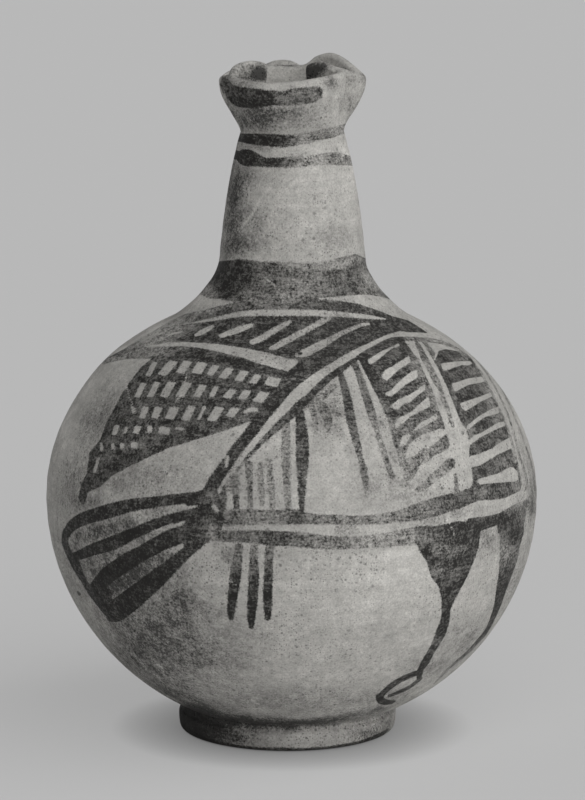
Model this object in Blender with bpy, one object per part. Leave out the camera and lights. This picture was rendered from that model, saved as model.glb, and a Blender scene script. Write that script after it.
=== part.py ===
"""A globular fired-clay jug: turned foot ring, two-bowl body, neck with a pinched trefoil mouth, roll handle.

Metres, +Z up, the table at z = 0, the pouring lobe of the mouth towards -Y and the handle towards +Y.
"""

import math

import bmesh
import bpy
from mathutils import Vector
from mathutils.geometry import interpolate_bezier

# Driving dimensions, in metres and degrees
JOINT_GAP = 0.0003

BELLY_RADIUS = 0.0911
BOWL_DEPTH = 0.0872
SHOULDER_RISE = 0.0756
BODY_WALL = 0.0050
FLOOR_RADIUS = 0.028
UNDERSIDE_RADIUS = 0.0212

FOOT_RADIUS = 0.0398
FOOT_HEIGHT = 0.0102
FOOT_WIDTH = 0.0090
FOOT_WAIST = 0.0012
FOOT_OFFSET = 0.0017

NECK_SEAM_RADIUS = 0.0470
NECK_BASE_RADIUS = 0.0272
NECK_BASE_RISE = 0.0237
NECK_LENGTH = 0.0480
THROAT_RADIUS = 0.0191
MOUTH_HEIGHT = 0.0215
RIM_UNIT = 0.0010
LIP_WALL = 0.0036

COIL_THICKNESS = 0.0026
BELLY_COIL_HEIGHT = 0.018
NECK_COIL_HEIGHT = 0.013
FOOT_COIL_SIZE = 0.0050

HANDLE_WIDTH = 0.0160
HANDLE_THICKNESS = 0.0104
HANDLE_TURN = 7.0
HANDLE_DROP = 0.0047
HANDLE_LIFT = 0.0115
HANDLE_REACH = 0.0560
HANDLE_ROOT_RADIUS = 0.0550
WAD_MARGIN = 0.0036

SEGMENTS = 48

# Heights that follow from the sizes above
BELLY_HEIGHT = FOOT_HEIGHT + BOWL_DEPTH * math.sqrt(1 - (FOOT_RADIUS / BELLY_RADIUS) ** 2)
SEAM_ANGLE = math.acos(NECK_SEAM_RADIUS / BELLY_RADIUS)
SEAM_HEIGHT = BELLY_HEIGHT + SHOULDER_RISE * math.sin(SEAM_ANGLE)
NECK_BASE_HEIGHT = SEAM_HEIGHT + NECK_BASE_RISE
THROAT_HEIGHT = NECK_BASE_HEIGHT + NECK_LENGTH
RIM_HEIGHT = THROAT_HEIGHT + MOUTH_HEIGHT

# Middle of the rim wall, going round from the front lip by the left: the angle on the throat circle below
# the point in degrees, then across, towards the back, and above the rim height, in rim units
RIM_POINTS = (
    (0, -3.0, -23.0, -1.6),
    (28, -13.5, -20.5, -1.8),
    (50, -21.0, -12.5, -0.8),
    (62, -20.5, -6.0, 2.0),
    (71, -15.5, -2.8, 3.1),
    (78, -11.0, -0.2, 2.1),
    (86, -15.5, 2.6, 0.5),
    (98, -22.5, 4.0, -2.6),
    (115, -25.0, 9.0, -4.2),
    (140, -20.0, 16.0, -2.5),
    (160, -9.5, 19.8, -1.9),
    (180, 0.5, 20.3, -2.0),
    (190, 5.0, 19.8, -1.5),
    (200, 9.0, 19.0, 1.5),
    (214, 14.5, 16.6, 3.1),
    (230, 20.0, 13.0, 1.0),
    (246, 25.5, 8.0, -3.3),
    (262, 21.5, 3.8, -1.6),
    (274, 13.0, 2.4, 1.0),
    (282, 7.0, -0.4, 1.5),
    (289, 10.5, -3.0, 3.0),
    (299, 16.8, -6.0, 0.8),
    (311, 17.2, -12.5, 0.3),
    (332, 8.5, -20.5, -0.5),
)


# Helpers that make meshes
def fired_clay(name, colour, roughness):
    material = bpy.data.materials.new(name)
    material.use_nodes = True
    surface = material.node_tree.nodes["Principled BSDF"]
    surface.inputs["Base Color"].default_value = (*colour, 1.0)
    surface.inputs["Roughness"].default_value = roughness
    surface.inputs["Metallic"].default_value = 0.0
    return material


def add_object(name, mesh, material):
    for polygon in mesh.polygons:
        polygon.use_smooth = True
    piece = bpy.data.objects.new(name, mesh)
    bpy.context.collection.objects.link(piece)
    if material:
        piece.data.materials.append(material)
    return piece


def turned(name, outline, material, closed=True):
    """A solid turned about Z from an outline of (radius, height) that runs down its outer side."""
    mesh = bpy.data.meshes.new(name)
    points = [(radius, 0.0, height) for radius, height in outline]
    edges = [(i, i + 1) for i in range(len(points) - 1)]
    if closed:
        edges.append((len(points) - 1, 0))
    mesh.from_pydata(points, edges, [])
    piece = add_object(name, mesh, material)
    screw = piece.modifiers.new("turning", "SCREW")
    screw.axis = "Z"
    screw.steps = SEGMENTS
    screw.render_steps = SEGMENTS
    screw.use_merge_vertices = True
    screw.merge_threshold = 0.00001
    screw.use_smooth_shade = True
    return piece


def lofted(name, rings, material, wrapped):
    """A solid through rings of points: the last ring joins the first, or both ends are closed by faces."""
    build = bmesh.new()
    rows = [[build.verts.new(point) for point in ring] for ring in rings]
    pairs = list(zip(rows[:-1], rows[1:]))
    if wrapped:
        pairs.append((rows[-1], rows[0]))
    else:
        build.faces.new(rows[0])
        build.faces.new(rows[-1])
    for lower, upper in pairs:
        for i in range(len(lower)):
            j = (i + 1) % len(lower)
            build.faces.new((lower[i], lower[j], upper[j], upper[i]))
    bmesh.ops.recalc_face_normals(build, faces=build.faces)
    mesh = bpy.data.meshes.new(name)
    build.to_mesh(mesh)
    build.free()
    return add_object(name, mesh, material)


def hide_cutter(piece):
    piece.hide_render = True
    piece.display_type = "WIRE"
    return piece


def cut(piece, cutter):
    trim = piece.modifiers.new("seat on " + cutter.name, "BOOLEAN")
    trim.operation = "DIFFERENCE"
    trim.solver = "EXACT"
    trim.object = cutter


# Curves of the body
def body_point(rise, angle, inset):
    """A point (radius, height) of the body's half ellipse, moved in from its face by the inset."""
    across = math.cos(angle)
    along = math.sin(angle)
    outward = Vector((abs(rise) * across, math.copysign(BELLY_RADIUS, rise) * along)).normalized()
    return Vector((BELLY_RADIUS * across, BELLY_HEIGHT + rise * along)) - inset * outward


def bowl_point(angle, inset):
    return body_point(-BOWL_DEPTH, angle, inset)


def dome_point(angle, inset):
    return body_point(SHOULDER_RISE, angle, inset)


def bowl_angle(radius):
    return math.acos(radius / BELLY_RADIUS)


def spread(first, last, count):
    return [first + (last - first) * i / (count - 1) for i in range(count)]


def neck_profile(flare_steps, cone_steps):
    """Points (radius, height) of the neck's outer face from the shoulder seam up to the throat."""
    seam = dome_point(SEAM_ANGLE, 0.0)
    rising = (dome_point(SEAM_ANGLE + 0.01, 0.0) - seam).normalized()
    base = Vector((NECK_BASE_RADIUS, NECK_BASE_HEIGHT))
    upright = Vector((-0.09, 1.0)).normalized()
    throat = Vector((THROAT_RADIUS, THROAT_HEIGHT))
    closing = Vector((-0.29, 1.0)).normalized()
    pull = 0.26 * (base - seam).length
    stretch = 0.33 * NECK_LENGTH
    start = seam + 0.5 * JOINT_GAP * rising
    flare = interpolate_bezier(start, start + pull * rising, base - pull * upright, base, flare_steps)
    cone = interpolate_bezier(base, base + stretch * upright, throat - stretch * closing, throat, cone_steps)
    return [point.to_2d() for point in flare + cone[1:]]


def profile_normals(points):
    normals = []
    for i in range(len(points)):
        along = points[min(i + 1, len(points) - 1)] - points[max(i - 1, 0)]
        normals.append(Vector((along.y, -along.x)).normalized())
    return normals


# Surface of the neck and mouth
def rim_curve(degrees):
    """The point of the rim's middle line above an angle of the throat circle."""
    count = len(RIM_POINTS)
    i = max(k for k in range(count) if RIM_POINTS[k][0] <= degrees)

    def knot(k):
        turn, place = divmod(k, count)
        angle, across, back, above = RIM_POINTS[place]
        point = RIM_UNIT * Vector((across, back, above)) + Vector((0.0, 0.0, RIM_HEIGHT))
        return angle + 360.0 * turn, point

    def slope(k):
        before, after = knot(k - 1), knot(k + 1)
        return (after[1] - before[1]) / (after[0] - before[0])

    (first, start), (last, end) = knot(i), knot(i + 1)
    span = last - first
    t = (degrees - first) / span
    return (
        (2 * t**3 - 3 * t**2 + 1) * start
        + (t**3 - 2 * t**2 + t) * span * slope(i)
        + (3 * t**2 - 2 * t**3) * end
        + (t**3 - t**2) * span * slope(i + 1)
    )


def rim_angles(between):
    """Throat angles of the columns: each span between two rim points is split into equal steps."""
    starts = [row[0] for row in RIM_POINTS] + [360]
    angles = []
    for first, last in zip(starts[:-1], starts[1:]):
        angles += [first + (last - first) * k / between for k in range(between)]
    return angles


def round_the_axis(radius, height, degrees):
    turn = math.radians(degrees)
    return Vector((-radius * math.sin(turn), -radius * math.cos(turn), height))


def neck_surface():
    """Rows of (middle point, outward normal, upward direction, wall) of the neck and mouth."""
    profile = neck_profile(6, 6)
    normals = profile_normals(profile)
    mouth_steps = 7
    row_count = len(profile) + mouth_steps
    angles = rim_angles(3)
    walls = [BODY_WALL + (LIP_WALL - BODY_WALL) * v / (row_count - 1) for v in range(row_count)]
    rows = []
    for point, normal, wall in zip(profile, normals, walls):
        middle = point - 0.5 * wall * normal
        rows.append([round_the_axis(middle.x, middle.y, angle) for angle in angles])
    throat = rows[-1]
    for step in range(1, mouth_steps + 1):
        share = step / mouth_steps
        flare = math.sin(0.5 * math.pi * share**1.15)
        row = []
        for start, angle in zip(throat, angles):
            end = rim_curve(angle)
            row.append(
                Vector(
                    (
                        start.x + (end.x - start.x) * flare,
                        start.y + (end.y - start.y) * flare,
                        start.z + (end.z - start.z) * share,
                    )
                )
            )
        rows.append(row)
    surface = []
    for v, row in enumerate(rows):
        line = []
        for u, point in enumerate(row):
            around = row[(u + 1) % len(row)] - row[u - 1]
            rising = rows[min(v + 1, row_count - 1)][u] - rows[max(v - 1, 0)][u]
            outward = rising.cross(around).normalized()
            line.append((point, outward, rising.normalized(), walls[v]))
        surface.append(line)
    return surface


def wall_ring(line, degrees, grow=0.0):
    """A ring round the wall's section: 0 is its outer face, 90 its upper end and 180 its inner face."""
    side = math.cos(math.radians(degrees))
    top = math.sin(math.radians(degrees))
    return [
        point + (0.5 * wall + grow) * (side * outward + top * rising)
        for point, outward, rising, wall in line
    ]


# Sub-parts
def make_foot_ring(bowl_cutter):
    """The thrown foot: it stands a little to the left of the axis, and its top is cut to the bowl."""
    inner = FOOT_RADIUS - FOOT_WIDTH
    waist = FOOT_RADIUS - FOOT_WAIST
    ridge = 0.72 * FOOT_HEIGHT
    inside_bowl = FOOT_HEIGHT + BODY_WALL
    outline = [
        (waist, inside_bowl),
        (waist, ridge + 0.5 * FOOT_WAIST),
        (FOOT_RADIUS - 0.25 * FOOT_WAIST, ridge + 0.1 * FOOT_WAIST),
        (FOOT_RADIUS, ridge - 0.8 * FOOT_WAIST),
        (FOOT_RADIUS - 0.25 * FOOT_WAIST, 0.35 * FOOT_HEIGHT),
        (waist, 0.12 * FOOT_HEIGHT),
        (waist - 0.09 * FOOT_WIDTH, 0.03 * FOOT_HEIGHT),
        (waist - 0.22 * FOOT_WIDTH, 0.0),
        (inner + 0.22 * FOOT_WIDTH, 0.0),
        (inner + 0.07 * FOOT_WIDTH, 0.05 * FOOT_HEIGHT),
        (inner, 0.16 * FOOT_HEIGHT),
        (inner, inside_bowl),
    ]
    material = fired_clay("foot slip", (0.40, 0.36, 0.30), 0.72)
    piece = turned("foot_ring", outline, material)
    piece.location.x = -FOOT_OFFSET
    cut(piece, bowl_cutter)
    return piece


def make_foot_coil(bowl_cutter):
    """Clay pressed into the corner between the foot's inner face and the bowl."""
    wall = FOOT_RADIUS - FOOT_WIDTH - JOINT_GAP
    tip = wall - FOOT_COIL_SIZE
    corner = bowl_point(bowl_angle(wall), 0.0).y
    inside_bowl = corner + BODY_WALL
    low = corner - 0.8 * FOOT_COIL_SIZE
    outline = [
        (wall, inside_bowl),
        (wall, low),
        (wall - 0.12 * FOOT_COIL_SIZE, low),
        (wall - 0.5 * FOOT_COIL_SIZE, corner - 0.6 * FOOT_COIL_SIZE),
        (tip, corner - 0.5 * FOOT_COIL_SIZE),
        (tip, inside_bowl),
    ]
    material = fired_clay("luting clay under the foot", (0.36, 0.31, 0.25), 0.85)
    piece = turned("foot_luting_coil", outline, material)
    piece.location.x = -FOOT_OFFSET
    cut(piece, bowl_cutter)
    return piece


def make_bowl_cutter():
    """The bowl's outer face near the foot, swollen by the joint gap and filled."""
    outside = [bowl_point(angle, -JOINT_GAP) for angle in lower_body_angles() if angle > 0.6]
    outline = [(0.0, outside[0].y)] + [tuple(point) for point in outside] + [(0.0, outside[-1].y)]
    return hide_cutter(turned("bowl face cutter", outline, None, closed=False))


def lower_body_angles():
    return spread(0.5 * JOINT_GAP / BOWL_DEPTH, bowl_angle(UNDERSIDE_RADIUS), 13)


def make_lower_body():
    angles = lower_body_angles()
    inside_end = bowl_angle(FLOOR_RADIUS * BELLY_RADIUS / (BELLY_RADIUS - BODY_WALL))
    inside = [bowl_point(angle, BODY_WALL) for angle in spread(inside_end, angles[0], 10)]
    outside = [bowl_point(angle, 0.0) for angle in angles]
    outline = [(0.0, inside[0].y), (0.6 * inside[0].x, inside[0].y)]
    outline += [tuple(point) for point in inside + outside]
    outline.append((0.0, outside[-1].y))
    material = fired_clay("bowl slip", (0.42, 0.38, 0.31), 0.70)
    return turned("lower_body", outline, material, closed=False)


def make_belly_coil():
    half = 0.5 * BELLY_COIL_HEIGHT
    inset = BODY_WALL + JOINT_GAP
    outline = []
    for share in (1.0, 0.5, 0.0):
        outline.append(tuple(dome_point(share * half / SHOULDER_RISE, inset)))
    for share in (0.5, 1.0):
        outline.append(tuple(bowl_point(share * half / BOWL_DEPTH, inset)))
    for share in (1.0, 0.55):
        depth = COIL_THICKNESS * (1.1 - share**2)
        outline.append(tuple(bowl_point(share * half / BOWL_DEPTH, inset + depth)))
    for share in (0.0, 0.55, 1.0):
        depth = COIL_THICKNESS * (1.1 - share**2)
        outline.append(tuple(dome_point(share * half / SHOULDER_RISE, inset + depth)))
    material = fired_clay("luting clay at the belly", (0.36, 0.31, 0.25), 0.85)
    return turned("belly_luting_coil", outline, material)


def make_upper_body():
    low = 0.5 * JOINT_GAP / SHOULDER_RISE
    seam = dome_point(SEAM_ANGLE, 0.0)
    seam_step = (dome_point(SEAM_ANGLE + 0.01, 0.0) - seam).length / 0.01
    high = SEAM_ANGLE - 0.5 * JOINT_GAP / seam_step
    outside = [dome_point(angle, 0.0) for angle in spread(high, low, 11)]
    inside = [dome_point(angle, BODY_WALL) for angle in spread(low, high, 9)]
    material = fired_clay("shoulder slip", (0.42, 0.38, 0.31), 0.70)
    return turned("upper_body", [tuple(point) for point in outside + inside], material)


def make_neck_coil():
    half = 0.5 * NECK_COIL_HEIGHT
    seam = dome_point(SEAM_ANGLE, 0.0)
    seam_step = (dome_point(SEAM_ANGLE + 0.01, 0.0) - seam).length / 0.01
    profile = neck_profile(12, 6)
    normals = profile_normals(profile)
    wall = BODY_WALL + JOINT_GAP
    steps = [0.5 * JOINT_GAP]
    for before, after in zip(profile[:-1], profile[1:]):
        steps.append(steps[-1] + (after - before).length)
    reach = [k for k, step in enumerate(steps) if step <= half][::2]
    upper = [(profile[k], normals[k], steps[k] / half) for k in reversed(reach)]
    lower = []
    for share in (0.5, 1.0):
        angle = SEAM_ANGLE - share * half / seam_step
        face = dome_point(angle, 0.0)
        lower.append((face, face - dome_point(angle, 1.0), share))
    stations = upper + lower
    outline = [tuple(face - wall * normal) for face, normal, _ in stations]
    for face, normal, share in reversed(stations):
        depth = wall + COIL_THICKNESS * (1.1 - 0.8 * share**2)
        outline.append(tuple(face - depth * normal))
    material = fired_clay("luting clay at the neck", (0.36, 0.31, 0.25), 0.85)
    return turned("neck_luting_coil", outline, material)


def make_neck_and_mouth(surface):
    rings = [wall_ring(line, 0) for line in surface]
    rings += [wall_ring(surface[-1], degrees) for degrees in (45, 90, 135)]
    rings += [wall_ring(line, 180) for line in reversed(surface)]
    material = fired_clay("neck slip", (0.42, 0.38, 0.31), 0.70)
    return lofted("neck_and_mouth", rings, material, wrapped=True)


def make_outer_cutter(surface):
    """The jug's outer face from the belly to the rim, swollen by the joint gap and filled."""
    angles = rim_angles(3)
    rings = []
    for angle in spread(0.2, SEAM_ANGLE, 12)[:-1]:
        face = dome_point(angle, -JOINT_GAP)
        rings.append([round_the_axis(face.x, face.y, degrees) for degrees in angles])
    rings += [wall_ring(line, 0, JOINT_GAP) for line in surface]
    rings += [wall_ring(surface[-1], degrees, JOINT_GAP) for degrees in (45, 90)]
    peak = Vector((0.0, 3.0 * RIM_UNIT, RIM_HEIGHT + MOUTH_HEIGHT))
    rings.append([peak + 0.02 * (point - peak) for point in rings[-1]])
    return hide_cutter(lofted("jug outer face cutter", rings, None, wrapped=False))


def handle_plane(reach, height, aside=0.0):
    """A point of the handle's upright plane: reach from the axis, height, and distance aside."""
    turn = math.radians(HANDLE_TURN)
    return Vector(
        (-reach * math.sin(turn) + aside * math.cos(turn), reach * math.cos(turn) + aside * math.sin(turn), height)
    )


def rim_joint():
    """Reach and height where the handle's middle line leaves the back of the mouth."""
    back = rim_curve(180.0)
    return Vector((back.y + 0.5 * LIP_WALL, back.z - HANDLE_DROP))


def shoulder_joint():
    angle = math.acos(HANDLE_ROOT_RADIUS / BELLY_RADIUS)
    return dome_point(angle, 0.0), dome_point(angle, -1.0) - dome_point(angle, 0.0)


def handle_rings(grow):
    top = rim_joint() - Vector((LIP_WALL, 0.0))
    root, root_normal = shoulder_joint()
    end = root - 0.8 * BODY_WALL * root_normal
    rise = top.y - end.y
    first_pull = Vector((0.93 * HANDLE_REACH, top.y + HANDLE_LIFT))
    last_pull = Vector((1.04 * HANDLE_REACH, end.y + 0.57 * rise))
    path = [point.to_2d() for point in interpolate_bezier(top, first_pull, last_pull, end, 23)]
    rings = []
    for k, point in enumerate(path):
        along = (path[min(k + 1, len(path) - 1)] - path[max(k - 1, 0)]).normalized()
        out = Vector((along.y, -along.x))
        share = 2.0 * k / (len(path) - 1) - 1.0
        swell = 1.0 + 0.14 * share**4
        half_width = 0.5 * HANDLE_WIDTH * swell + grow
        half_thick = 0.5 * HANDLE_THICKNESS * swell + grow
        ring = []
        for side in range(16):
            turn = 2.0 * math.pi * side / 16
            place = point + half_thick * math.sin(turn) * out
            ring.append(handle_plane(place.x, place.y, half_width * math.cos(turn)))
        rings.append(ring)
    return rings


def make_handle(outer_cutter):
    material = fired_clay("handle slip", (0.41, 0.37, 0.30), 0.70)
    piece = lofted("handle", handle_rings(0.0), material, wrapped=False)
    cut(piece, outer_cutter)
    return piece


def make_wad(name, joint, normal, half_sizes, cutters):
    """A pressed lump of clay round one end of the handle: half sizes across, along the face and outward."""
    turn = math.radians(HANDLE_TURN)
    across = Vector((math.cos(turn), math.sin(turn), 0.0))
    outward = (handle_plane(normal.x, normal.y) - handle_plane(0.0, 0.0)).normalized()
    upward = across.cross(outward)
    centre = handle_plane(joint.x, joint.y)
    build = bmesh.new()
    bmesh.ops.create_uvsphere(build, u_segments=24, v_segments=12, radius=1.0)
    for vert in build.verts:
        place = vert.co.copy()
        vert.co = (
            centre
            + half_sizes[0] * place.x * across
            + half_sizes[1] * place.y * upward
            + half_sizes[2] * place.z * outward
        )
    bmesh.ops.recalc_face_normals(build, faces=build.faces)
    mesh = bpy.data.meshes.new(name)
    build.to_mesh(mesh)
    build.free()
    material = fired_clay(name.replace("_", " ") + " clay", (0.40, 0.36, 0.29), 0.75)
    piece = add_object(name, mesh, material)
    for cutter in cutters:
        cut(piece, cutter)
    return piece


def make_jug():
    bowl_cutter = make_bowl_cutter()
    make_foot_ring(bowl_cutter)
    make_foot_coil(bowl_cutter)
    make_lower_body()
    make_belly_coil()
    make_upper_body()
    make_neck_coil()
    surface = neck_surface()
    make_neck_and_mouth(surface)
    outer_cutter = make_outer_cutter(surface)
    make_handle(outer_cutter)
    handle_cutter = hide_cutter(lofted("handle cutter", handle_rings(JOINT_GAP), None, wrapped=False))
    cutters = (outer_cutter, handle_cutter)
    root, root_normal = shoulder_joint()
    half_width = 0.57 * HANDLE_WIDTH
    half_thick = 0.57 * HANDLE_THICKNESS
    make_wad(
        "handle_shoulder_wad",
        root,
        root_normal,
        (half_width + WAD_MARGIN, half_thick + 1.6 * WAD_MARGIN, 1.4 * WAD_MARGIN),
        cutters,
    )
    top = rim_joint() - Vector((0.0, 0.4 * HANDLE_THICKNESS))
    make_wad(
        "handle_rim_wad",
        top,
        Vector((1.0, -0.3)),
        (half_width + WAD_MARGIN, half_thick + 0.8 * WAD_MARGIN, 1.5 * WAD_MARGIN),
        cutters,
    )


for leftover in list(bpy.data.objects):
    bpy.data.objects.remove(leftover)
make_jug()
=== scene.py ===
# %% [markdown]
# A globular jug with a pinched mouth, painted with a bird in dark slip. The solids of the jug come from the
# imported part, so this script begins by loading them as a fixed frame. Every piece made below lies in that
# same frame: metres, the table at height zero, the pouring lobe of the mouth towards minus Y.

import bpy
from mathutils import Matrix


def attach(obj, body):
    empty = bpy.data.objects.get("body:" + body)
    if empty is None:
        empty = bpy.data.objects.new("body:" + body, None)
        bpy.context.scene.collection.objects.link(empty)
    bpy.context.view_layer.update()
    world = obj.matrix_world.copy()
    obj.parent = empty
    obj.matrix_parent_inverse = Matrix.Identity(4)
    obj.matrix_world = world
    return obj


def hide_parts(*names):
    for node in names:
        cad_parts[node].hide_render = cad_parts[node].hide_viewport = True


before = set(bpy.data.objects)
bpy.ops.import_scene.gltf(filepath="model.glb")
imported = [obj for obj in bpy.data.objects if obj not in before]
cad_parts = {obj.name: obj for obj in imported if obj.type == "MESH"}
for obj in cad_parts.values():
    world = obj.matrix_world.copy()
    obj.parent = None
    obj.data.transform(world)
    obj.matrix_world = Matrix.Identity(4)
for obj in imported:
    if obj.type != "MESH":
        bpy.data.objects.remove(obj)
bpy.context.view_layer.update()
print("solids of the jug:", ", ".join(sorted(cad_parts)))

# %% Tools of the lesson
import math

import bmesh
import bpy
import numpy as np
from mathutils import Vector
from mathutils.bvhtree import BVHTree


def placed(name, data):
    """A new object in the scene."""
    thing = bpy.data.objects.new(name, data)
    bpy.context.collection.objects.link(thing)
    return thing


print("Blender", bpy.app.version_string)

# %% [markdown]
# The camera comes first, because the brush strokes of the decoration are placed through it later. A long
# lens far away gives the flat view of a catalogue photograph. The distance, the height and the downward
# tilt were found by fitting the outline of the body and of the foot.

# %% Camera
PHOTO_WIDTH = 585
PHOTO_HEIGHT = 800
AXIS_PIXEL = 292.0
METRES_PER_PIXEL = 0.00037
SENSOR_HEIGHT = 36.0
CAMERA_DISTANCE = 2.5
CAMERA_TILT = math.radians(11.5)
AIM_HEIGHT = 0.1243
FARTHEST_SEEN = 50.0

camera_data = bpy.data.cameras.new("catalogue_camera")
camera_data.sensor_fit = "VERTICAL"
camera_data.sensor_height = SENSOR_HEIGHT
camera_data.lens = SENSOR_HEIGHT * CAMERA_DISTANCE / METRES_PER_PIXEL / PHOTO_HEIGHT
camera_data.clip_end = FARTHEST_SEEN
camera = placed("catalogue_camera", camera_data)
camera_aim = Vector(((0.5 * PHOTO_WIDTH - AXIS_PIXEL) * METRES_PER_PIXEL, 0.0, AIM_HEIGHT))
camera_back = Vector((0.0, -math.cos(CAMERA_TILT), math.sin(CAMERA_TILT)))
camera.location = camera_aim + CAMERA_DISTANCE * camera_back
camera.rotation_euler = (0.5 * math.pi - CAMERA_TILT, 0.0, 0.0)
bpy.context.scene.camera = camera
print("camera lens, mm:", round(camera_data.lens, 1))

# %% [markdown]
# The body is two thrown bowls, so its outline is two half ellipses that meet at the belly, and the neck is
# a flaring curve on top of them. The sizes are those of the solids. They are written here once, and every
# piece of the body, the foot, the luting and the handle is placed from them.

# %% Sizes of the jug
BELLY_RADIUS = 0.0911
BOWL_DEPTH = 0.0872
SHOULDER_RISE = 0.0756
BODY_WALL = 0.0050
FLOOR_RADIUS = 0.028
UNDERSIDE_RADIUS = 0.0212
FOOT_RADIUS = 0.0398
FOOT_HEIGHT = 0.0102
FOOT_WIDTH = 0.0090
FOOT_WAIST = 0.0012
FOOT_OFFSET = 0.0017
NECK_SEAM_RADIUS = 0.0470
NECK_BASE_RADIUS = 0.0272
NECK_BASE_RISE = 0.0237
NECK_LENGTH = 0.0480
THROAT_RADIUS = 0.0191
MOUTH_HEIGHT = 0.0215
LIP_WALL = 0.0036

BELLY_HEIGHT = FOOT_HEIGHT + BOWL_DEPTH * math.sqrt(1 - (FOOT_RADIUS / BELLY_RADIUS) ** 2)
SEAM_ANGLE = math.acos(NECK_SEAM_RADIUS / BELLY_RADIUS)
THROAT_HEIGHT = BELLY_HEIGHT + SHOULDER_RISE * math.sin(SEAM_ANGLE) + NECK_BASE_RISE + NECK_LENGTH
RIM_HEIGHT = THROAT_HEIGHT + MOUTH_HEIGHT
print("belly at", round(BELLY_HEIGHT, 4), "rim at", round(RIM_HEIGHT, 4))

# %% Outline of the two bowls
BOWL_OUTER_ROWS = 150
BOWL_INNER_ROWS = 26
DOME_OUTER_ROWS = 118
DOME_INNER_ROWS = 20


def body_point(rise, angle, inset):
    """A point (radius, height) of one half ellipse, moved in from the outer face by the inset."""
    across, along = math.cos(angle), math.sin(angle)
    outward = Vector((abs(rise) * across, math.copysign(BELLY_RADIUS, rise) * along)).normalized()
    return Vector((BELLY_RADIUS * across, BELLY_HEIGHT + rise * along)) - inset * outward


def bowl_point(angle, inset=0.0):
    return body_point(-BOWL_DEPTH, angle, inset)


def dome_point(angle, inset=0.0):
    return body_point(SHOULDER_RISE, angle, inset)


def bowl_angle(radius):
    return math.acos(radius / BELLY_RADIUS)


def spread(first, last, count):
    return [first + (last - first) * i / (count - 1) for i in range(count)]


bowl_end = bowl_angle(UNDERSIDE_RADIUS)
floor_end = bowl_angle(FLOOR_RADIUS * BELLY_RADIUS / (BELLY_RADIUS - BODY_WALL))
bowl_inside = [bowl_point(angle, BODY_WALL) for angle in spread(floor_end, 0.0, BOWL_INNER_ROWS)]
bowl_outside = [bowl_point(angle) for angle in spread(0.0, bowl_end, BOWL_OUTER_ROWS)]
floor_middle = Vector((0.0, bowl_inside[0].y))
underside_middle = Vector((0.0, bowl_outside[-1].y))
bowl_outline = [floor_middle, *bowl_inside, *bowl_outside, underside_middle]
dome_outside = [dome_point(angle) for angle in spread(SEAM_ANGLE, 0.0, DOME_OUTER_ROWS)]
dome_inside = [dome_point(angle, BODY_WALL) for angle in spread(0.0, SEAM_ANGLE, DOME_INNER_ROWS)]
dome_outline = dome_outside + dome_inside + dome_outside[:1]
print("outline points of the bowl and the shoulder:", len(bowl_outline), len(dome_outline))

# %% [markdown]
# A potter turns a profile on the wheel. Geometry Nodes do the same here: a grid is laid out with one row
# for each outline point and many columns, and each grid point is set on a circle of its row's radius.
# Columns are closer together at the front, where the painting needs fine edges. Screw would work too, but
# its columns are all alike. The handle will be rolled by a second tree, so the steps that both trees share
# are functions.

# %% Steps that the node trees share
WELD_GAP = 0.000002


def link(source, target):
    """Join two sockets of one tree."""
    source.id_data.links.new(source, target)


def value_node(tree, operation, first, second=None):
    """A Math node; numbers are set on its sockets and other values are linked to them."""
    node = tree.nodes.new("ShaderNodeMath")
    node.operation = operation
    for socket, value in zip(node.inputs, (first, second)):
        if isinstance(value, (int, float)):
            socket.default_value = value
        elif value is not None:
            link(value, socket)
    return node.outputs[0]


def combined(tree, operation, *values):
    """All values taken together, one after another."""
    total = values[0]
    for value in values[1:]:
        total = value_node(tree, operation, total, value)
    return total


def scaled(tree, vector, share):
    node = tree.nodes.new("ShaderNodeVectorMath")
    node.operation = "SCALE"
    link(vector, node.inputs[0])
    link(share, node.inputs["Scale"])
    return node.outputs[0]


def times(tree, *values):
    return combined(tree, "MULTIPLY", *values)


def plus(tree, *values):
    return combined(tree, "ADD", *values)


def start_tree(name, inputs):
    """A tree with named inputs and one piece of clay as its output, and the inputs' identifiers."""
    tree = bpy.data.node_groups.new(name, "GeometryNodeTree")
    sockets = {}
    for label, kind in inputs:
        sockets[label] = tree.interface.new_socket(label, in_out="INPUT", socket_type=kind).identifier
    tree.interface.new_socket("Piece", in_out="OUTPUT", socket_type="NodeSocketGeometry")
    return tree, tree.nodes.new("NodeGroupInput"), sockets


def rows_and_columns(tree, points, columns):
    """A grid with a row for each point, and one column more than asked, which closes the ring."""
    size = tree.nodes.new("GeometryNodeAttributeDomainSize")
    link(points, size.inputs["Geometry"])
    rows = size.outputs["Point Count"]
    grid = tree.nodes.new("GeometryNodeMeshGrid")
    link(plus(tree, columns, 1.0), grid.inputs["Vertices X"])
    link(rows, grid.inputs["Vertices Y"])
    index = tree.nodes.new("GeometryNodeInputIndex").outputs[0]
    column = value_node(tree, "FLOOR", value_node(tree, "DIVIDE", index, rows))
    row = value_node(tree, "SUBTRACT", index, times(tree, column, rows))
    return grid.outputs["Mesh"], row, column


def sampled(tree, points, row, name):
    """A named vector of the point that the row stands for."""
    field = tree.nodes.new("GeometryNodeInputNamedAttribute")
    field.data_type = "FLOAT_VECTOR"
    field.inputs["Name"].default_value = name
    sample = tree.nodes.new("GeometryNodeSampleIndex")
    sample.data_type = "FLOAT_VECTOR"
    link(points, sample.inputs["Geometry"])
    link(field.outputs[0], sample.inputs["Value"])
    link(row, sample.inputs["Index"])
    return sample.outputs["Value"]


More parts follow.
